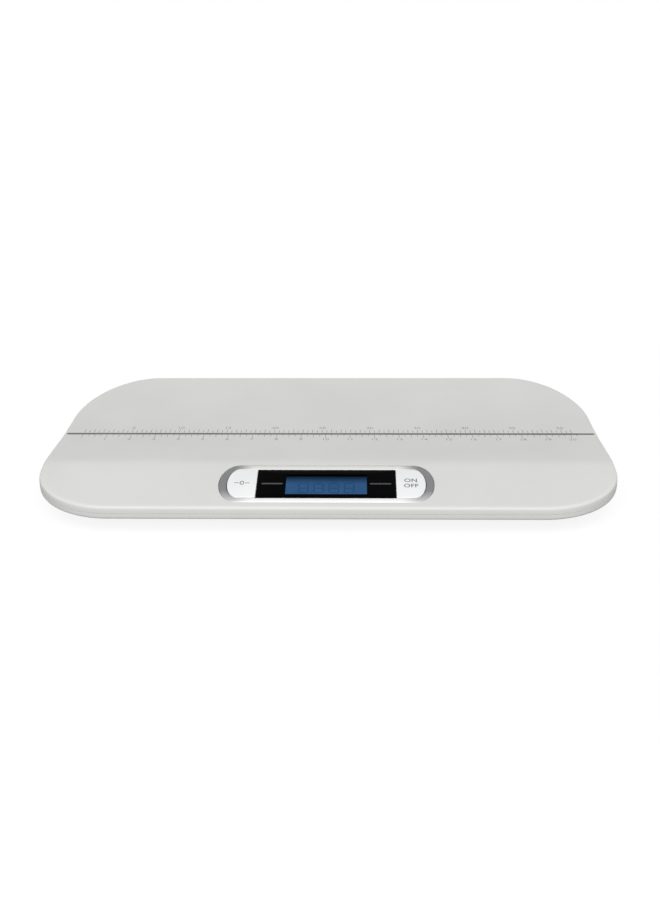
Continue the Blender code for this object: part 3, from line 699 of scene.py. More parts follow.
@dataclass(frozen=True)
class Finish:
    """A surface finish whose grain breaks up its colour, gloss and surface.

    Sizes are in metres. The grain is the texture of the surface itself and the drift is the
    slow change of tone across it.
    """

    name: str
    colour: str
    shade: str
    roughness: float
    metallic: float = 0.0
    ior: float = 1.5
    specular: float = 0.5
    grain: float = 0.0011
    drift: float = 0.070
    relief: float = 0.000006
    gloss_spread: float = 0.05
    stretch: tuple[float, float, float] = (1.0, 1.0, 1.0)
    alpha: float = 1.0
    grain_detail: float = 3.0
    grain_roughness: float = 0.6
    drift_detail: float = 2.0
    tone_span: tuple[float, float] = (0.75, 1.25)
    gloss_span: tuple[float, float] = (0.3, 0.7)

    def material(self) -> bpy.types.Material:
        """Makes the finish as a material, or finds it if it is already made.

        Returns:
            The material.
        """
        found = bpy.data.materials.get(self.name)
        if found:
            return found
        material = bpy.data.materials.new(self.name)
        material.use_nodes = True
        tree = material.node_tree
        shader = tree.nodes["Principled BSDF"]
        place = add_node(tree, "ShaderNodeTexCoord").outputs["Object"]
        spread = add_node(tree, "ShaderNodeMapping",
                          {"Vector": place, "Scale": self.stretch}).outputs[0]
        grain = add_node(tree, "ShaderNodeTexNoise", {
            "Vector": spread, "Scale": 1 / self.grain, "Detail": self.grain_detail,
            "Roughness": self.grain_roughness}).outputs[0]
        drift = add_node(tree, "ShaderNodeTexNoise", {
            "Vector": place, "Scale": 1 / self.drift, "Detail": self.drift_detail}).outputs[0]
        tone = ramp(tree, maths(tree, "ADD", grain, drift), self.tone_span)
        gloss = [self.roughness - self.gloss_spread, self.roughness + self.gloss_spread]
        relief = add_node(tree, "ShaderNodeBump", {"Height": grain, "Distance": self.relief})
        feed(tree, shader, {
            "Base Color": self.tint(tree, place, tone), "Metallic": self.metallic,
            "Roughness": ramp(tree, drift, self.gloss_span, gloss), "IOR": self.ior,
            "Specular IOR Level": self.specular, "Alpha": self.alpha, "Normal": relief.outputs[0]})
        feed(tree, shader, self.extras(tree, place, tone))
        return material

    def tint(self, tree: NodeTree, place: NodeSocket, tone: NodeSocket) -> NodeSocket:
        """The surface colour, from the place and the mottling: the colour and its darker shade."""
        return blend(tree, tone, self.colour, self.shade)

    def extras(self, tree: NodeTree, place: NodeSocket, tone: NodeSocket) -> dict:
        """Inputs beyond colour, gloss and relief, of which a plain finish has none."""
        return {}


def slope_place(tree: NodeTree, place: NodeSocket) -> Node:
    """Turns a place on a piece into distances along and up the sloped front.

    Args:
        tree: the material's nodes.
        place: the place on the piece.

    Returns:
        The node that separates X, Y and Z in the plane of the slope.
    """
    turned = add_node(tree, "ShaderNodeMapping", {
        "Vector": place, "Location": SLOPE.at().inverted().translation,
        "Rotation": (-SLOPE.angle, 0, 0)}).outputs[0]
    return add_node(tree, "ShaderNodeSeparateXYZ", {0: turned})


@dataclass(frozen=True)
class RingFinish(Finish):
    """Grey on the ring's ends, which runs out to white beside the window, with painted shade along
    the top and a painted highlight low down.
    """

    # painted shade and highlight: a darker white along the ring's top and a brighter white along
    # its lower lip
    white_high: str = "#D2D2D0"
    white_low: str = "#E9E9E9"
    grey_span: tuple[float, float] = (0.068, 0.090)
    low_span: tuple[float, float] = (-0.012, -0.030)
    low_share: float = 0.45
    flake: float = 0.25

    def paint(self, tree: NodeTree, place: NodeSocket) -> NodeSocket:
        """How much grey there is: full at the ends, none along the sides, and less low down, where
        it gives way to a painted highlight.

        Args:
            tree: the material's nodes.
            place: the place on the piece.

        Returns:
            The share, from 0 to 1.
        """
        along = slope_place(tree, place)
        away = maths(tree, "ABSOLUTE", along.outputs["X"])
        end = ramp(tree, away, self.grey_span, smooth=True)
        # painted highlight: less grey towards the ring's lower lip
        low = ramp(tree, along.outputs["Y"], self.low_span, (1.0, self.low_share))
        return maths(tree, "MULTIPLY", end, low)

    def tint(self, tree: NodeTree, place: NodeSocket, tone: NodeSocket) -> NodeSocket:
        """The grey of the ends over the white of the sides, with painted shade along the top and a
        painted highlight low down.

        Args:
            tree: the material's nodes.
            place: the place on the piece.
            tone: the mottling, from 0 to 1.

        Returns:
            The colour.
        """
        up = slope_place(tree, place).outputs["Y"]
        # painted shade along the top, running to a painted highlight along the lower lip
        share = ramp(tree, up, (-self.low_span[0], self.low_span[0]))
        white = blend(tree, share, self.white_high, self.white_low)
        return blend(tree, self.paint(tree, place), white, super().tint(tree, place, tone))

    def extras(self, tree: NodeTree, place: NodeSocket, tone: NodeSocket) -> dict:
        """Metal flakes lie only where the ring is grey."""
        return {"Metallic": maths(tree, "MULTIPLY", self.paint(tree, place), self.flake)}


@dataclass(frozen=True)
class ScreenFinish(Finish):
    """A lit blue screen: bright in its lower part, and dim along its top with a painted shadow of
    the window's frame.
    """

    lit: str = "#365F8B"
    cloud: str = "#2F5680"
    # painted shadow of the window's frame: its dim blue, and the span up the slope where it comes
    # in
    dim: str = "#0A1424"
    lit_span: tuple[float, float] = (0.0010, 0.0178)
    strength: float = 1.0

    def extras(self, tree: NodeTree, place: NodeSocket, tone: NodeSocket) -> dict:
        """Lights the screen from behind, evenly but for a painted shadow along its top.

        Args:
            tree: the material's nodes.
            place: the place on the piece.
            tone: the mottling, from 0 to 1.

        Returns:
            The glow's inputs.
        """
        # painted shadow: the glow fades to the dim blue along the top
        dim = ramp(tree, slope_place(tree, place).outputs["Y"], self.lit_span, smooth=True)
        glow = blend(tree, dim, blend(tree, tone, self.lit, self.cloud), self.dim)
        return {"Emission Color": glow, "Emission Strength": self.strength}


@dataclass(frozen=True)
class StripedFinish(Finish):
    """Two colours in even stripes along X, such as layered rubber or copper tracks."""

    other: str = "#303030"
    pitch: float = 0.001
    share: float = 0.5

    def tint(self, tree: NodeTree, place: NodeSocket, tone: NodeSocket) -> NodeSocket:
        """The mottled colour with stripes of the other colour at an even pitch.

        Args:
            tree: the material's nodes.
            place: the place on the piece.
            tone: the mottling, from 0 to 1.

        Returns:
            The colour.
        """
        x = add_node(tree, "ShaderNodeSeparateXYZ", {0: place}).outputs["X"]
        saw = maths(tree, "FRACT", maths(tree, "MULTIPLY", x, 1 / self.pitch))
        stripe = maths(tree, "LESS_THAN", saw, self.share)
        return blend(tree, stripe, super().tint(tree, place, tone), self.other)


# Moulded ABS with a spark-eroded texture: a soft satin white that hides its moulding marks.
# The real grit is near 0.1 mm; it is drawn at about 1 mm so that it shows at all.
CASE_ABS = Finish("abs_white_spark_eroded", "#D4D4D2", "#D0D0CE", 0.46, specular=0.3)
# The same plastic in a brighter batch with a finer surface, so the keys stand out from the case.
KEY_ABS = Finish("abs_white_keys", "#EAEBEB", "#E4E5E6", 0.34, grain=0.0008, relief=0.000003)
# Silver grey with fine metallic flakes and a darker mottle on the ring's ends; its white sides
# carry painted shade along the top and a painted highlight low down.
RING_GREY_WITH_PAINTED_LIGHT = RingFinish("lacquer_silver_grey", "#808082", "#757577", 0.40, grain=0.0006)
# Back-printed acrylic: a deep flat black that only mirrors what is very bright.
WINDOW_BLACK = Finish("acrylic_back_printed_black", "#020203", "#040405", 0.16, ior=1.49,
                      specular=0.008, grain=0.004, relief=0.000001)
# The unprinted middle of the same plate: clear, with a slight smoky tint.
WINDOW_CLEAR = Finish("acrylic_clear_smoked", "#0A0E14", "#0D1218", 0.10, ior=1.49, specular=0.0,
                      grain=0.004, relief=0.000001, alpha=0.06)
# Liquid crystal glass over a light guide: an even blue glow that is cloudy close up, with a painted
# shadow of the window's frame along its top.
SCREEN_BLUE = ScreenFinish("lcd_glass_lit_blue", "#05070A", "#070A0E", 0.40, specular=0.0,
                           grain=0.009, drift=0.030)
# Crystal cells at rest: a little darker than the light that comes through around them, under the
# same painted shadow along the top.
SCREEN_CELLS = ScreenFinish("lcd_cells_idle", "#05070A", "#070A0E", 0.40, specular=0.0,
                            lit="#2D517B", cloud="#284A71", grain=0.009, drift=0.030)
# Screen-printed ink: thin, flat and dark, slightly uneven where the mesh left its mark.
LINE_INK = Finish("ink_ruler_dark_grey", "#5A5A5A", "#4E4E4E", 0.55, grain=0.0007)
SCALE_INK = Finish("ink_ruler_pale_grey", "#8E8E8C", "#848482", 0.60, grain=0.0007)
WINDOW_INK = Finish("ink_window_dim_grey", "#45494D", "#3D4145", 0.55, specular=0.1, grain=0.0005)
KEY_INK = Finish("ink_key_grey", "#70737A", "#666970", 0.55, grain=0.0005)
# Moulded rubber: matt, nearly black and a little dusty.
PAD_RUBBER = Finish("rubber_black_moulded", "#1C1C1C", "#2B2A29", 0.82, grain=0.0012, drift=0.015,
                    relief=0.00002)
# Zinc-plated steel: bright, cool and faintly streaked along the sheet.
PLATED = Finish("steel_zinc_plated", "#C4C6C8", "#A9ACAF", 0.30, metallic=1.0, grain=0.0006,
                drift=0.012, relief=0.000004, gloss_spread=0.08, stretch=(1.0, 0.15, 1.0))
# Nickel plating on spring steel: warmer and smoother than zinc.
NICKEL = Finish("steel_nickel_plated", "#CFCBC2", "#B4B0A8", 0.22, metallic=1.0, grain=0.0008,
                drift=0.010, relief=0.000002, gloss_spread=0.06)
# Shrink film on a dry cell: a glossy dark sleeve with a pale band at the positive end.
WRAP_DARK = Finish("film_battery_charcoal", "#2A2C31", "#222429", 0.28, grain=0.003, drift=0.02,
                   relief=0.000003)
WRAP_PALE = Finish("film_battery_silver", "#B4B6B8", "#A6A8AB", 0.26, metallic=0.5, grain=0.003,
                   drift=0.02, relief=0.000003)
# Solder mask over copper tracks: green gloss with paler lines.
BOARD_MASK = StripedFinish("board_green_solder_mask", "#1B5E36", "#174F2E", 0.35, grain=0.002,
                           drift=0.02, other="#2A7A48", pitch=0.0024, share=0.3)
# Layers of carbon and silicone rubber, pressed between the glass and the board.
STRIP_RUBBER = StripedFinish("rubber_layered_connector", "#C79AA0", "#BC8F96", 0.70, grain=0.0008,
                             other="#2A2628", pitch=0.0005, share=0.4)
# Moulded epoxy of the chip and the switch bodies: matt black with a fine grit.
EPOXY = Finish("epoxy_black_chip", "#1A1A1B", "#242425", 0.60, grain=0.0004, drift=0.006,
               relief=0.000008)
# Cast acrylic of the light guide: milky, so the light spreads evenly.
MILKY = Finish("acrylic_milky_light_guide", "#E4E9EF", "#D8DEE6", 0.30, grain=0.004, drift=0.02)
# Extruded PVC on the leads: smooth, with a soft shine.
LEAD_WHITE = Finish("pvc_lead_white", "#DCDCD8", "#CFCFCA", 0.42, grain=0.0009, drift=0.02)
LEAD_BLACK = Finish("pvc_lead_black", "#17171A", "#202024", 0.42, grain=0.0009, drift=0.02)
LEAD_RED = Finish("pvc_lead_red", "#A81E1A", "#961713", 0.42, grain=0.0009, drift=0.02)


@dataclass
class Stage:
    """The floor, the lamp, the surroundings and the camera."""

    target: tuple[float, float, float] = (0.0, 0.0, 0.044)
    distance: float = 1.1938
    elevation: float = math.radians(20.94)
    yaw: float = math.radians(-1.51)
    roll: float = math.radians(-0.48)
    focal_px: float = 1142.8
    frame_px: tuple[int, int] = (660, 900)
    target_px: tuple[float, float] = (329.1, 433.8)
    sensor: float = 36.0
    floor_size: float = 60.0
    floor_tone: float = 0.30
    floor_seen: float = 0.14
    floor_glow: tuple[float, float] = (0.88, 1.0)
    floor_near: tuple[float, float] = (0.45, 1.3)
    ambient: float = 0.18
    key_power: float = 610.0
    key_size: tuple[float, float] = (7.0, 5.0)
    key_distance: float = 7.0
    key_tilt: float = math.radians(44)

    def build(self) -> None:
        """Sets the camera, lights and floor."""
        bpy.context.scene.view_settings.view_transform = "Standard"
        self.add_camera()
        self.add_surroundings()
        self.add_lamp()
        self.add_floor()

    def add_camera(self) -> None:
        """Adds the camera at the photograph's viewing angle."""
        data = bpy.data.cameras.new("photo_camera")
        width, height = self.frame_px
        data.sensor_fit = "VERTICAL"
        data.sensor_width = data.sensor_height = self.sensor
        data.lens = self.focal_px * self.sensor / height
        data.shift_x = (width / 2 - self.target_px[0]) / height
        data.shift_y = (self.target_px[1] - height / 2) / height
        tilt = Matrix.Rotation(math.pi / 2 - self.elevation, 4, "X")
        back = Matrix.Translation((0, 0, self.distance)) @ Matrix.Rotation(self.roll, 4, "Z")
        place = Matrix.Translation(self.target) @ Matrix.Rotation(-self.yaw, 4, "Z") @ tilt @ back
        bpy.context.scene.camera = put("photo_camera", data, place)

    def add_surroundings(self) -> None:
        """A plain room: what is seen or mirrored is white, and what lights the scene is dimmer."""
        world = bpy.data.worlds.new("white_room")
        bpy.context.scene.world = world
        world.use_nodes = True
        tree = world.node_tree
        strength = ramp(tree, self.seen_directly(tree), (0.0, 1.0), (self.ambient, 1.0))
        feed(tree, tree.nodes["Background"], {"Strength": strength, "Color": linear("#FFFFFF")})

    def seen_directly(self, tree: NodeTree) -> NodeSocket:
        """One where a ray comes from the camera, a mirror or glass, and nought elsewhere.

        Args:
            tree: the node tree to add to.

        Returns:
            The answer's socket.
        """
        path = add_node(tree, "ShaderNodeLightPath").outputs
        shine = maths(tree, "MAXIMUM", path["Is Camera Ray"], path["Is Glossy Ray"])
        return maths(tree, "MAXIMUM", shine, path["Is Transmission Ray"])

    def add_lamp(self) -> None:
        """One large soft lamp in front of the object and above it."""
        data = bpy.data.lights.new("soft_box", "AREA")
        data.shape = "RECTANGLE"
        data.size, data.size_y = self.key_size
        data.energy = self.key_power
        out = Matrix.Translation((0, 0, self.key_distance))
        put("soft_box", data, Matrix.Rotation(self.key_tilt, 4, "X") @ out)

    def add_floor(self) -> None:
        """A wide white floor that keeps a faint shadow."""
        floor = add_plate("floor", self.floor_size, self.floor_size)
        material = bpy.data.materials.new("paper_white_sweep")
        material.use_nodes = True
        tree = material.node_tree
        tree.nodes.remove(tree.nodes["Principled BSDF"])
        paper, shadow = [add_node(tree, "ShaderNodeBsdfDiffuse", {0: (*[tone] * 3, 1)}).outputs[0]
                         for tone in (self.floor_tone, self.floor_seen)]
        place = add_node(tree, "ShaderNodeTexCoord").outputs["Object"]
        away = add_node(tree, "ShaderNodeVectorMath", {0: place}, operation="LENGTH")
        fade = ramp(tree, away.outputs["Value"], self.floor_near, self.floor_glow, smooth=True)
        glow = add_node(tree, "ShaderNodeEmission", {1: fade}).outputs[0]
        bright = add_node(tree, "ShaderNodeAddShader", {0: shadow, 1: glow}).outputs[0]
        both = add_node(tree, "ShaderNodeMixShader",
                        {0: self.seen_directly(tree), 1: paper, 2: bright}).outputs[0]
        feed(tree, tree.nodes["Material Output"], {"Surface": both})
        floor.data.materials.append(material)


@dataclass
class Tray:
    """The white tray, its groove for the measuring line and its seat for the display."""

    wall: float = 0.0025
    rim_steps: int = 16
    support: float = 0.0012
    seat_clear: float = 0.0003
    key_room: float = 0.0017
    seat_tool: float = 0.005
    opening_tool: float = 0.010

    def build(self) -> None:
        """Models the tray from its outline and dresses it."""
        piece = FORM.outline("tray_shell", FORM.level - FORM.rim)
        rings = FORM.rim_rings(math.pi / 2, self.rim_steps)
        inset_rings(piece, [*rings, (FORM.rim + self.support, FORM.rim)])
        FORM.follow(piece, lambda z: 1.0)
        modify(piece, "SOLIDIFY", thickness=self.wall, offset=-1.0)

        seat = add_pill("ring_seat", *DISPLAY.outer(self.seat_clear))
        thicken(seat, self.seat_tool)
        settle(seat, SLOPE.at(self.seat_tool - SLOPE.ring_thickness - self.seat_clear))
        carve(piece, Cut.TAKE_AWAY, [seat])
        opening = add_pill("key_opening", *DISPLAY.inner(self.key_room))
        thicken(opening, self.opening_tool)
        settle(opening, SLOPE.at(self.wall))
        low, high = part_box("ruler_strip")
        margin = Vector((self.seat_clear + LINE.overrun, self.seat_clear, self.seat_clear))
        groove = add_block("groove", low - margin, high + margin + UP * self.wall)
        carve(piece, Cut.TAKE_AWAY, [opening, groove])
        dress(piece, "case", [CASE_ABS], ["top_cover"])


@dataclass
class LowerCase:
    """The lower half of the case, with wells for the feet, a battery bay and screw pockets."""

    floor_z: float = 0.011
    wall: float = 0.0025
    hull_inset: float = 0.039
    hull_turn: float = math.radians(45)
    parting: float = 0.00018
    rim_steps: int = 12
    floor_round: float = 0.006
    floor_steps: int = 5
    floor_fold: float = math.radians(10)
    support: float = 0.002
    well_radius: float = 0.023
    well_top: float = 0.019
    boss_radius: float = 0.0048
    boss_top: float = 0.0237
    boss_steps: int = 32
    pocket_radius: float = 0.0037
    pocket_top: float = 0.0155
    flare: float = 0.0006
    bay_gap: float = 0.0003
    bay_wall: float = 0.002
    bay_margin: float = 0.0005
    door_ledge: float = 0.0045

    def flared_drum(self, name: str, radius: float, high: float, at: Sequence[float]) -> Object:
        """A drum that cuts a round pocket up from the floor, with a chamfered mouth.

        Args:
            name: the tool's name.
            radius: the pocket's radius.
            high: the pocket's roof.
            at: the pocket's axis.

        Returns:
            The tool.
        """
        drum = add_drum(name, radius, self.floor_z + self.flare, high, at)
        with editing(drum):
            pick(drum, Part.FACE, lambda f: looks(f, -1))
            extrude(-2 * self.flare)
            size = (radius + 2 * self.flare) / radius
            bpy.ops.transform.resize(value=(size, size, 1), center_override=(*at, 0))
        return drum

    def build(self) -> None:
        """Models the lower case from its outline and dresses it."""
        low = FORM.level - FORM.rim - self.parting
        piece = FORM.outline("lower_case", low)
        with editing(piece):
            pick_all()
            bpy.ops.mesh.flip_normals()
        rings = FORM.rim_rings(self.hull_turn, self.rim_steps)
        rim_from = low - rings[-1][1]
        drop = low - self.floor_z
        flat_in = self.hull_inset + self.floor_round + self.support
        inset_rings(piece, [*rings, (self.hull_inset, drop), (flat_in, drop)])
        with editing(piece):
            pick(piece, Part.EDGE, lambda e: level_edge(e, self.floor_z)
                 and e.calc_face_angle(0) > self.floor_fold)
            bevel(self.floor_round, self.floor_steps)
        flat_to = self.floor_z + self.wall

        def share(z: float) -> float:
            """The floor stays flat and the whole of the rim follows the tray."""
            return min(1.0, max(0.0, (z - flat_to) / (rim_from - flat_to)))

        FORM.follow(piece, share)
        modify(piece, "SOLIDIFY", thickness=self.wall, offset=-1.0)
        self.add_rooms(piece)
        dress(piece, "case", [CASE_ABS], ["bottom_cover"])

    def add_rooms(self, piece: Object) -> None:
        """Adds the wells, bosses and battery bay to the shell and cuts them out from below.

        Args:
            piece: the shell.
        """
        inside = self.floor_z + self.wall / 2
        feet = [node_middle(f"{corner}_foot") for corner in CORNERS]
        screws = [node_middle(f"case_screw_{number + 1}") for number in range(CASE_SCREWS)]
        low, high, roof = self.bay()
        wall = Vector((self.bay_wall, self.bay_wall, 0))
        well = (self.well_radius + self.wall, inside, self.well_top + self.wall)
        boss = (self.boss_radius, inside, self.boss_top)
        tools = [add_drum("well", *well, at) for at in feet]
        tools += [add_drum("boss", *boss, at, self.boss_steps) for at in screws]
        tools.append(add_block("bay", Vector((*low, inside)) - wall,
                               Vector((*high, roof + self.bay_wall)) + wall))
        carve(piece, Cut.ADD, tools)
        well, pocket = (self.well_radius, self.well_top), (self.pocket_radius, self.pocket_top)
        tools = [self.flared_drum("well_inside", *well, at) for at in feet]
        tools += [self.flared_drum("pocket", *pocket, at) for at in screws]
        tools.append(add_block("bay_inside", (*low, self.floor_z + self.wall), (*high, roof)))
        carve(piece, Cut.TAKE_AWAY, tools)
        mouth = add_block("bay_mouth", (low[0], low[1] + self.door_ledge, self.floor_z - self.wall),
                          (*high, self.floor_z + 2 * self.wall))
        carve(piece, Cut.TAKE_AWAY, [mouth])

    def bay(self) -> tuple[tuple[float, float], tuple[float, float], float]:
        """The battery bay, from the pieces inside it.

        Returns:
            Its inner corners in X and Y, and its roof.
        """
        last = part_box(f"battery_{CELL_COUNT}")[1]
        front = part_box("battery_contact_front_middle")[0].y - self.bay_gap
        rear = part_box("battery_contact_rear_left")[1].y + self.bay_gap
        side = last.x + 2 * self.bay_gap
        return (-side, front), (side, rear), last.z + self.bay_margin


LOWER_CASE = LowerCase()


@dataclass
class MeasuringLine:
    """The dark line across the tray, with pale ticks and plain numbers on both sides of it.

    A scale is given by its side of the line, its unit, the parts of a unit that have ticks and
    how many units lie between numbers.
    """

    edge: float = 0.0003
    overrun: float = 0.0015
    ink_lift: float = 0.00003
    tick_width: float = 0.0006
    tick_gap: float = 0.0010
    tick_reach: tuple[float, float, float] = (0.0090, 0.0064, 0.0042)
    scales: tuple[tuple[int, float, int, int], ...] = ((1, 0.010, 2, 5), (-1, 0.0254, 4, 1))
    number_size: float = 0.0078
    number_gap: float = 0.0135
    end_margin: float = 0.016

    def build(self) -> None:
        """Models the line, its ticks and its numbers."""
        low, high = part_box("ruler_strip")
        line = add_plate("measuring_line", high.x - low.x + 2 * self.overrun, high.y - low.y,
                         (0, (low.y + high.y) / 2, high.z))
        thicken(line, high.z - low.z)
        round_rim(line, high.z, self.edge, segments=2)
        dress(line, "case", [LINE_INK], ["ruler_strip"])
        length = high.x - low.x - 2 * self.end_margin
        ticks, numbers = [], []
        for side, unit, parts, every in self.scales:
            edge_y = (high.y if side > 0 else low.y) + side * self.tick_gap
            for i in range(int(length / unit * parts) + 1):
                count, part = divmod(i, parts)
                reach = self.tick_reach[0 if part == 0 else 1 if part * 2 == parts else 2]
                x = low.x + self.end_margin + i * unit / parts
                at = (x, edge_y + side * reach / 2, FORM.level)
                ticks.append(add_plate("tick", self.tick_width, reach, at))
                if part == 0 and count and count % every == 0:
                    at = (x, edge_y + side * self.number_gap, FORM.level)
                    numbers.append(printed_text(str(count), self.number_size, at))
        self.lay(joined(ticks, "measuring_ticks"))
        self.lay(joined(numbers, "measuring_numbers"))

    def lay(self, ink: Object) -> None:
        """Gives a flat print its thickness, lays it on the tray's curve and dresses it.

        Args:
            ink: the flat print.
        """
        for vertex in ink.data.vertices:
            vertex.co.z = FORM.level + FORM.rise(vertex.co.y) + self.ink_lift
        modify(ink, "SOLIDIFY", thickness=2 * self.ink_lift, offset=-1.0)
        dress(ink, "case", [SCALE_INK])


LINE = MeasuringLine()


@dataclass
class Display:
    """The ring, the black window and the lit screen behind it, on the sloped front."""

    half_length: float = 0.1025
    half_height: float = 0.030
    end: float = 0.019
    band_ends: float = 0.0076
    band_sides: float = 0.00675
    crown: float = 0.0005
    ring_round: float = 0.0026
    ring_blank: float = 0.0039
    window_sink: float = 0.0002
    window_thickness: float = 0.002
    window_corner: float = 0.0006
    window_edge: float = 0.0002
    view_size: tuple[float, float] = (0.0772, 0.0316)
    view_up: float = -0.0011
    screen_gap: float = 0.0006
    screen_thickness: float = 0.0022
    digit_size: tuple[float, float] = (0.0088, 0.0150)
    digit_bar: float = 0.0014
    digit_point: float = 0.46
    digit_gap: float = 0.0004
    digit_pitch: float = 0.0145
    digit_count: int = 4
    digit_up: float = -0.0038
    line_size: tuple[float, float] = (0.0205, 0.0022)
    line_out: float = 0.0516
    line_steps: int = 32

    def outer(self, margin: float = 0.0) -> tuple[float, float, float]:
        """Half length, half height and end of the ring's outer edge, moved out by a margin."""
        return self.half_length + margin, self.half_height + margin, self.end + margin

    def inner(self, margin: float = 0.0) -> tuple[float, float, float]:
        """Half length, half height and end of the ring's inner edge, moved out by a margin."""
        length, height, end = self.outer(margin)
        return length - self.band_ends, height - self.band_sides, end - self.band_ends

    def build(self) -> None:
        """Models and dresses every piece of the display."""
        self.add_ring()
        self.add_window()
        self.add_lines()
        self.add_screen()

    def add_ring(self) -> None:
        """A band between two pills, rounded as a taller blank and pressed to a low crown."""
        outer = add_pill("display_ring", *self.outer(), fill="NOTHING")
        inner = add_pill("ring_inside", *self.inner(), fill="NOTHING")
        ring = joined([outer, inner])
        with editing(ring):
            pick(ring, Part.EDGE)
            bpy.ops.mesh.bridge_edge_loops()
        thicken(ring, self.ring_blank)
        round_rim(ring, 0.0, self.ring_round, segments=6)
        press = (SLOPE.ring_thickness + self.crown) / self.ring_blank
        settle(ring, SLOPE.at(self.crown) @ Matrix.Diagonal((1, 1, press, 1)))
        dress(ring, "case", [RING_GREY_WITH_PAINTED_LIGHT], ["display_bezel"])

    def add_window(self) -> None:
        """A black plate whose middle is left clear."""
        plate = add_slab("window_plate", SLOPE.size_of("display_window", self.window_thickness),
                         (self.window_corner, 4), (self.window_edge, 2))
        half_x, half_y = self.view_size[0] / 2, self.view_size[1] / 2
        with editing(plate):
            for side in (-1, 1):
                slice_at((side * half_x, 0, 0), (1, 0, 0))
                slice_at((0, self.view_up + side * half_y, 0), (0, 1, 0))
        dress(plate, "case", [WINDOW_BLACK, WINDOW_CLEAR], ["display_window"])
        for face in plate.data.polygons:
            x, y, _ = face.center
            face.material_index = int(abs(x) < half_x and abs(y - self.view_up) < half_y)
        plate.data.transform(SLOPE.at(-self.window_sink))

    def add_print(self, pieces: Sequence[Object], name: str, height: float,
                  finish: Finish) -> None:
        """Joins flat pieces into one print and dresses it.

        Args:
            pieces: the flat pieces, in the plane of the slope.
            name: the print's name.
            height: the height over the slope of what it is printed on.
            finish: the ink.
        """
        ink = joined(pieces, name)
        thicken(ink, INK)
        settle(ink, SLOPE.at(height + INK / 2))
        dress(ink, "case", [finish])

    def add_lines(self) -> None:
        """Two thin pale lines printed on the window, one on each side of the screen."""
        length, width = self.line_size
        lines = []
        for side in (-1, 1):
            line = add_pill("line", length / 2, width / 2, width / 2, self.line_steps)
            lines.append(settle(line, Matrix.Translation((side * self.line_out, 0, 0))))
        self.add_print(lines, "window_lines", -self.window_sink, WINDOW_INK)

    def add_screen(self) -> None:
        """The lit glass and the faint cells of its digits."""
        top = -self.window_sink - self.window_thickness - self.screen_gap
        glass = add_slab("screen_glass", SLOPE.size_of("lcd_panel", self.screen_thickness),
                         (self.window_corner, 3), (self.window_edge, 2))
        settle(glass, SLOPE.at(top))
        dress(glass, "case", [SCREEN_BLUE], ["lcd_panel"])
        width, tall = self.digit_size
        across = (width - self.digit_gap, self.digit_bar)
        upright = (self.digit_bar, tall / 2 - self.digit_gap)
        layout = [(across, 0, y) for y in (-1, 0, 1)]
        layout += [(upright, x, y) for x in (-1, 1) for y in (-0.5, 0.5)]
        bars = []
        for number in range(self.digit_count):
            middle = (number - (self.digit_count - 1) / 2) * self.digit_pitch
            for size, x, y in layout:
                at = (middle + x * width / 2, self.digit_up + y * tall / 2, 0)
                bars.append(add_plate("cell", *size, at))
                round_corners(bars[-1], self.digit_bar * self.digit_point, segments=1)
        self.add_print(bars, "screen_cells", top, SCREEN_CELLS)


DISPLAY = Display()


@dataclass
class Keys:
    """The two white keys that fill the ends of the ring, with their printed marks."""

    clear: float = 0.0005
    proud: float = 0.0006
    depth: float = 0.0031
    edge: float = 0.0006
    word_size: float = 0.0080
    word_pitch: float = 0.0086
    word_bold: float = 0.00012
    arrow: tuple[float, float] = (0.0030, 0.0011)
    zero: tuple[float, float] = (0.0021, 0.0032)
    zero_steps: int = 40
    stroke: float = 0.0009

    def build(self) -> None:
        """Models and dresses both keys and their marks."""
        edge_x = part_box("right_button")[0].x
        outline = DISPLAY.inner(-self.clear)
        for side, sign in SIDES:
            cap = add_pill(f"{side}_key_cap", *outline)
            with editing(cap):
                slice_at((sign * edge_x, 0, 0), (sign, 0, 0), clear=True)
                pick(cap, Part.VERT, lambda v: abs(v.co.x - sign * edge_x) < CLOSE)
                bevel(self.edge, segments=3, affect="VERTICES")
            thicken(cap, self.depth + self.proud)
            round_rim(cap, 0.0, self.edge, segments=4)
            settle(cap, SLOPE.at(self.proud))
            dress(cap, f"{side}_key", [KEY_ABS], [f"{side}_button"])
            x = sign * (edge_x + outline[0]) / 2
            parts = self.words(x) if sign > 0 else self.zero_mark(x)
            mark = joined(parts, f"{side}_key_mark")
            modify(mark, "SOLIDIFY", thickness=2 * INK, offset=0.0)
            settle(mark, SLOPE.at(self.proud))
            dress(mark, f"{side}_key", [KEY_INK])

    def words(self, x: float) -> list[Object]:
        """The plain words for the power key, one above the other, in the middle at a place in X."""
        return [printed_text(text, self.word_size, (x, y * self.word_pitch / 2, 0), self.word_bold)
                for text, y in (("ON", 1), ("OFF", -1))]

    def zero_mark(self, x: float) -> list[Object]:
        """The usual sign of a zero key: a nought between two arrows.

        Args:
            x: the sign's middle.

        Returns:
            The flat pieces of the sign.
        """
        wide, tall = self.zero
        nought = add_pill("nought", wide, tall, wide, self.zero_steps)
        with editing(nought):
            pick(nought, Part.FACE)
            inset(self.stroke)
            bpy.ops.mesh.delete(type="FACE")
        parts = [settle(nought, Matrix.Translation((x, 0, 0)))]
        length, half = self.arrow
        for side in (-1, 1):
            centre = x + side * (wide + length)
            shaft = add_plate("shaft", length, self.stroke, (centre + side * length / 4, 0, 0))
            head = add_plate("head", half, 2 * half, (centre - side * length / 2, 0, 0))
            with editing(head):
                pick(head, Part.VERT, lambda v: (v.co.x - centre) * side < -length / 2)
                bpy.ops.mesh.merge(type="CENTER")
            parts += [shaft, head]
        return parts


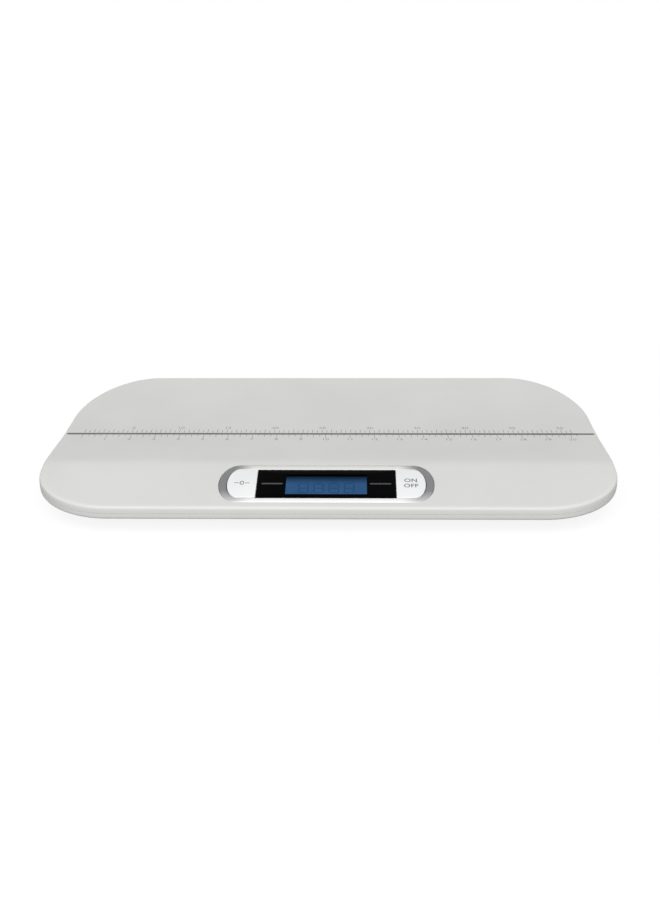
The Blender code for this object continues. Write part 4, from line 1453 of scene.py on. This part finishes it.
@dataclass
class Feet:
    """Four weighing feet, each a white cup on a grooved rubber pad."""

    steps: int = 72
    rim: float = 0.002
    case_gap: float = 0.0005
    pin_radius: float = 0.005
    pin_room: float = 0.00025
    cup_round: float = 0.0012
    lip_round: float = 0.0004
    pad_round: float = 0.0008
    pad_play: float = 0.0003
    groove_step: float = 0.0035
    groove_width: float = 0.0011
    groove_depth: float = 0.0006
    grooves: int = 3

    def build(self) -> None:
        """Models the foot and the pad at each corner."""
        for corner in CORNERS:
            self.add_cup(corner)
            self.add_pad(corner)

    def add_cup(self, corner: str) -> None:
        """A turned cup: a recess for the pad below and a pin to the load cell above.

        Args:
            corner: the foot's corner of the case.
        """
        low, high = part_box(f"{corner}_foot")
        pad_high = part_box(f"{corner}_foot_pad")[1].z
        radius = (high.x - low.x) / 2
        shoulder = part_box("bottom_cover")[0].z - self.case_gap
        cup = add_drum(f"{corner}_foot_cup", radius, low.z, shoulder,
                       node_middle(f"{corner}_foot"), self.steps)
        round_rim(cup, shoulder, self.cup_round, segments=4)
        round_rim(cup, low.z, self.lip_round, segments=2)
        with editing(cup):
            pick(cup, Part.FACE, lambda f: looks(f, -1))
            inset(self.rim - self.lip_round - self.pad_play)
            extrude(pad_high + self.pad_play - low.z)
            pick(cup, Part.FACE, lambda f: looks(f, 1)
                 and f.calc_center_median().z > shoulder - CLOSE)
            inset(radius - self.cup_round - self.pin_radius)
            extrude(high.z - shoulder - self.pin_room)
        dress(cup, f"{corner}_foot_unit", [CASE_ABS], [f"{corner}_foot"])

    def add_pad(self, corner: str) -> None:
        """A rubber disc with a rounded edge and ring grooves for grip.

        Args:
            corner: the pad's corner of the case.
        """
        low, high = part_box(f"{corner}_foot_pad")
        pad = add_drum(f"{corner}_grip_pad", (high.x - low.x) / 2, low.z, high.z,
                       node_middle(f"{corner}_foot_pad"), self.steps)
        round_rim(pad, low.z, self.pad_round, segments=4)
        flank, width, depth = self.groove_width / 4, self.groove_width / 2, self.groove_depth
        with editing(pad):
            pick(pad, Part.FACE, lambda f: looks(f, -1))
            for _ in range(self.grooves):
                for step in ((self.groove_step, 0), (flank, -depth), (width, 0), (flank, depth)):
                    inset(*step)
        dress(pad, f"{corner}_foot_unit", [PAD_RUBBER], [f"{corner}_foot_pad"])


@dataclass
class BatteryBay:
    """The door under the case, the four cells behind it and the contacts that link them.

    A link is a contact's place, the end of the bay it stands at, -1 for the front, and the cells
    that it touches.
    """

    door_thickness: float = 0.002
    door_play: float = 0.0005
    door_corner: float = 0.0012
    door_edge: float = 0.0005
    tongue_width: float = 0.012
    tongue_thickness: float = 0.0014
    neck_in: float = 0.0001
    grip_size: tuple[float, float] = (0.020, 0.008)
    grip_depth: float = 0.0008
    grip_ribs: int = 4
    grip_from_edge: float = 0.0085
    slot_share: float = 0.62
    slot_round: float = 0.28
    cell_round: float = 0.0007
    cell_steps: int = 48
    cell_metal: float = 0.00112
    nipple: float = 0.001
    nipple_radius: float = 0.00275
    band: float = 0.0095
    sheet: float = 0.0005
    sheet_corner: float = 0.0012
    stud_radius: float = 0.0034
    stud_round: float = 0.0012
    stud_steps: int = 32
    wire: float = 0.00035
    coil_turns: float = 3.5
    coil_steps: int = 20
    coil_radii: tuple[float, float] = (0.0042, 0.0026)
    links: tuple[tuple[str, int, tuple[int, ...]], ...] = (
        ("front_left", -1, (1,)), ("front_middle", -1, (2, 3)), ("front_right", -1, (4,)),
        ("rear_left", 1, (1, 2)), ("rear_right", 1, (3, 4)))

    def build(self) -> None:
        """Models and dresses the door, the cells and the contacts."""
        self.add_door()
        for number in range(1, CELL_COUNT + 1):
            self.add_cell(number)
        for link in self.links:
            self.add_contact(*link)

    def add_door(self) -> None:
        """A flat door with a ribbed finger grip and two tongues that hook behind a ledge."""
        low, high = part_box("battery_door")
        front = LOWER_CASE.bay()[0][1] + LOWER_CASE.door_ledge + self.door_play
        door = add_slab("door_panel", (high.x - low.x, high.y - front, -self.door_thickness),
                        (self.door_corner, 4), (self.door_edge, 3),
                        (0, (high.y + front) / 2, low.z))
        half_x, half_y = self.grip_size[0] / 2, self.grip_size[1] / 2
        pitch = self.grip_size[1] / self.grip_ribs
        slots = []
        for i in range(self.grip_ribs):
            y = high.y - self.grip_from_edge - half_y + pitch * i
            slot = add_block("grip_slot", (-half_x, y, low.z - self.grip_depth),
                             (half_x, y + pitch * self.slot_share, low.z + self.grip_depth))
            with editing(slot):
                pick(slot, Part.EDGE, lambda e: runs_along(e, 2))
                bevel(pitch * self.slot_round, segments=4)
            slots.append(slot)
        carve(door, Cut.TAKE_AWAY, slots)
        tongues = []
        for side in (-1, 1):
            middle = side * (high.x - low.x) / 4
            left, right = middle - self.tongue_width / 2, middle + self.tongue_width / 2
            rear = front + self.tongue_thickness
            tongue = add_block("tongue", (left, low.y, high.z - self.tongue_thickness),
                               (right, rear, high.z))
            neck = add_block("neck", (left, front + self.neck_in, low.z + self.door_thickness / 2),
                             (right, rear, high.z - self.tongue_thickness / 2))
            carve(tongue, Cut.ADD, [neck])
            tongues.append(tongue)
        carve(door, Cut.ADD, tongues)
        dress(door, "door", [CASE_ABS], ["battery_door"])

    def add_cell(self, number: int) -> None:
        """A dry cell: a film-wrapped can with crimped ends and a button at the positive one.

        Args:
            number: the cell's number; the odd ones point to the rear.
        """
        low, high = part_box(f"battery_{number}")
        radius = (high.x - low.x) / 2
        bottom, top = (low.y - high.y) / 2, (high.y - low.y) / 2 - self.nipple
        crimp = self.cell_round / 2
        cell = add_drum(f"dry_cell_{number}", radius, bottom, top, steps=self.cell_steps)
        for end in (top, bottom):
            round_rim(cell, end, self.cell_round)
        with editing(cell):
            for way in (1, -1):
                pick(cell, Part.FACE, lambda f: looks(f, way))
                inset(self.cell_round)
                inset(crimp, -crimp)
                if way > 0:
                    inset(radius - 2 * self.cell_round - crimp - self.nipple_radius)
                    extrude(self.nipple + crimp)
                    inset(crimp)
            slice_at((0, 0, top - self.band), (0, 0, 1))
        dress(cell, "case", [WRAP_DARK, WRAP_PALE, NICKEL], [f"battery_{number}"])
        for face in cell.data.polygons:
            metal = math.hypot(face.center.x, face.center.y) < radius - self.cell_metal
            face.material_index = 2 if metal else int(face.center.z > top - self.band)
        turn = Matrix.Rotation(math.pi / 2 * (-1) ** number, 4, "X")
        cell.data.transform(Matrix.Translation((low + high) / 2) @ turn)

    def add_contact(self, side: str, end: int, cells: Sequence[int]) -> None:
        """A plated sheet with a coil at each negative end and a stud at each positive one.

        Args:
            side: the contact's place in its node's name.
            end: the end of the bay, -1 for the front.
            cells: the cells it touches.
        """
        low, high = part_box(f"battery_contact_{side}")
        back = low.y if end < 0 else high.y
        face = back - end * self.sheet
        near, far = sorted((back, face))
        plate = add_block(f"contact_{side}", (low.x, near, low.z), (high.x, far, high.z))
        with editing(plate):
            pick(plate, Part.EDGE, lambda e: runs_along(e, 1))
            bevel(self.sheet_corner, segments=4)
        parts = [plate]
        for number in cells:
            cell_low, cell_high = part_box(f"battery_{number}")
            reach = abs(back - (cell_low.y if end < 0 else cell_high.y)) - self.sheet
            at = ((cell_low.x + cell_high.x) / 2, face, (low.z + high.z) / 2)
            positive = (number % 2 == 1) == (end > 0)
            part = self.stud(reach) if positive else self.coil(reach)
            turn = Matrix.Rotation(end * math.pi / 2, 4, "X")
            parts.append(settle(part, Matrix.Translation(at) @ turn))
        dress(joined(parts), "case", [NICKEL], [f"battery_contact_{side}"])

    def stud(self, reach: float) -> Object:
        """A raised stud that meets a cell's button.

        Args:
            reach: how far the button stands from the sheet.

        Returns:
            The stud, along Z.
        """
        top = reach - self.wire
        stud = add_drum("stud", self.stud_radius, -self.sheet / 2, top, steps=self.stud_steps)
        round_rim(stud, top, self.stud_round, segments=4)
        return stud

    def coil(self, reach: float) -> Object:
        """A conical coil of wire that presses on a cell's flat end.

        Args:
            reach: how far the cell's end stands from the sheet.

        Returns:
            The coil, along Z.
        """
        curve = bpy.data.curves.new("coil", "CURVE")
        curve.dimensions = "3D"
        curve.bevel_depth = self.wire
        curve.bevel_resolution = 2
        curve.use_fill_caps = True
        count = int(self.coil_turns * self.coil_steps)
        wide, narrow = self.coil_radii
        spline = curve.splines.new("POLY")
        spline.points.add(count)
        for i, point in enumerate(spline.points):
            share = i / count
            turn = 2 * math.pi * self.coil_turns * share
            radius = wide + (narrow - wide) * share
            height = (reach - 2 * self.wire) * share + self.wire / 2
            point.co = (radius * math.cos(turn), radius * math.sin(turn), height, 1)
        only(put("coil", curve))
        bpy.ops.object.convert(target="MESH")
        return bpy.context.object


@dataclass
class Fasteners:
    """The six screws that close the case, with cross recesses in their heads."""

    head_height: float = 0.0022
    shank_radius: float = 0.0015
    recess: tuple[float, float, float] = (0.0038, 0.0009, 0.0012)
    crown: float = 0.0009
    steps: int = 40

    def build(self) -> None:
        """Models one screw and copies it to each pocket."""
        low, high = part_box("case_screw_1")
        x, y = node_middle("case_screw_1")
        radius = (high.x - low.x) / 2
        head_top = low.z + self.head_height
        screw = add_drum("screw_model", radius, low.z, head_top, (x, y), self.steps)
        round_rim(screw, low.z, self.crown, segments=5)
        with editing(screw):
            pick(screw, Part.FACE, lambda f: looks(f, 1))
            inset(radius - self.shank_radius)
            extrude(high.z - head_top)
        length, width, depth = self.recess
        for half_x, half_y in ((length / 2, width / 2), (width / 2, length / 2)):
            bar = add_block("cross", (x - half_x, y - half_y, low.z - depth),
                            (x + half_x, y + half_y, low.z + depth))
            carve(screw, Cut.TAKE_AWAY, [bar])
        for number in range(1, CASE_SCREWS + 1):
            at_x, at_y = node_middle(f"case_screw_{number}")
            place = Matrix.Translation((at_x - x, at_y - y, 0))
            copy = settle(put(f"cross_screw_{number}", screw.data.copy()), place)
            copy.data.name = copy.name
            dress(copy, "case", [PLATED], [f"case_screw_{number}"])
        bpy.data.objects.remove(screw)


@dataclass
class InnerParts:
    """The pieces inside the closed case, which keep the frame's shapes and get their finishes."""

    def build(self) -> None:
        """Gives each inner node its finish."""
        finishes = {"display_carrier": CASE_ABS, "lcd_backlight": MILKY,
                    "lcd_connector_strip": STRIP_RUBBER, "main_board": BOARD_MASK,
                    "controller_chip": EPOXY, "battery_lead_negative": LEAD_BLACK,
                    "battery_lead_positive": LEAD_RED}
        for side, _ in SIDES:
            finishes |= {f"{side}_switch_body": EPOXY, f"{side}_switch_plunger": LEAD_BLACK}
        for corner in CORNERS:
            finishes |= {f"{corner}_load_cell": PLATED, f"{corner}_cell_holder": CASE_ABS,
                         f"{corner}_cell_lead": LEAD_WHITE}
        for number in range(1, BOARD_SCREWS + 1):
            finishes[f"board_screw_{number}"] = PLATED
        for name, finish in finishes.items():
            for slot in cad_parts[name].material_slots:
                slot.material = finish.material()
            LOG.info("%s: dressed as %s", name, finish.name)


def main() -> None:
    """Builds the scene in order."""
    logging.basicConfig(level=logging.INFO, format="%(message)s")
    for part in (Stage(), Tray(), LOWER_CASE, LINE, DISPLAY, Keys(), Feet(), BatteryBay(),
                 Fasteners(), InnerParts()):
        LOG.info("building %s", type(part).__name__)
        part.build()


if __name__ == "__main__":
    main()
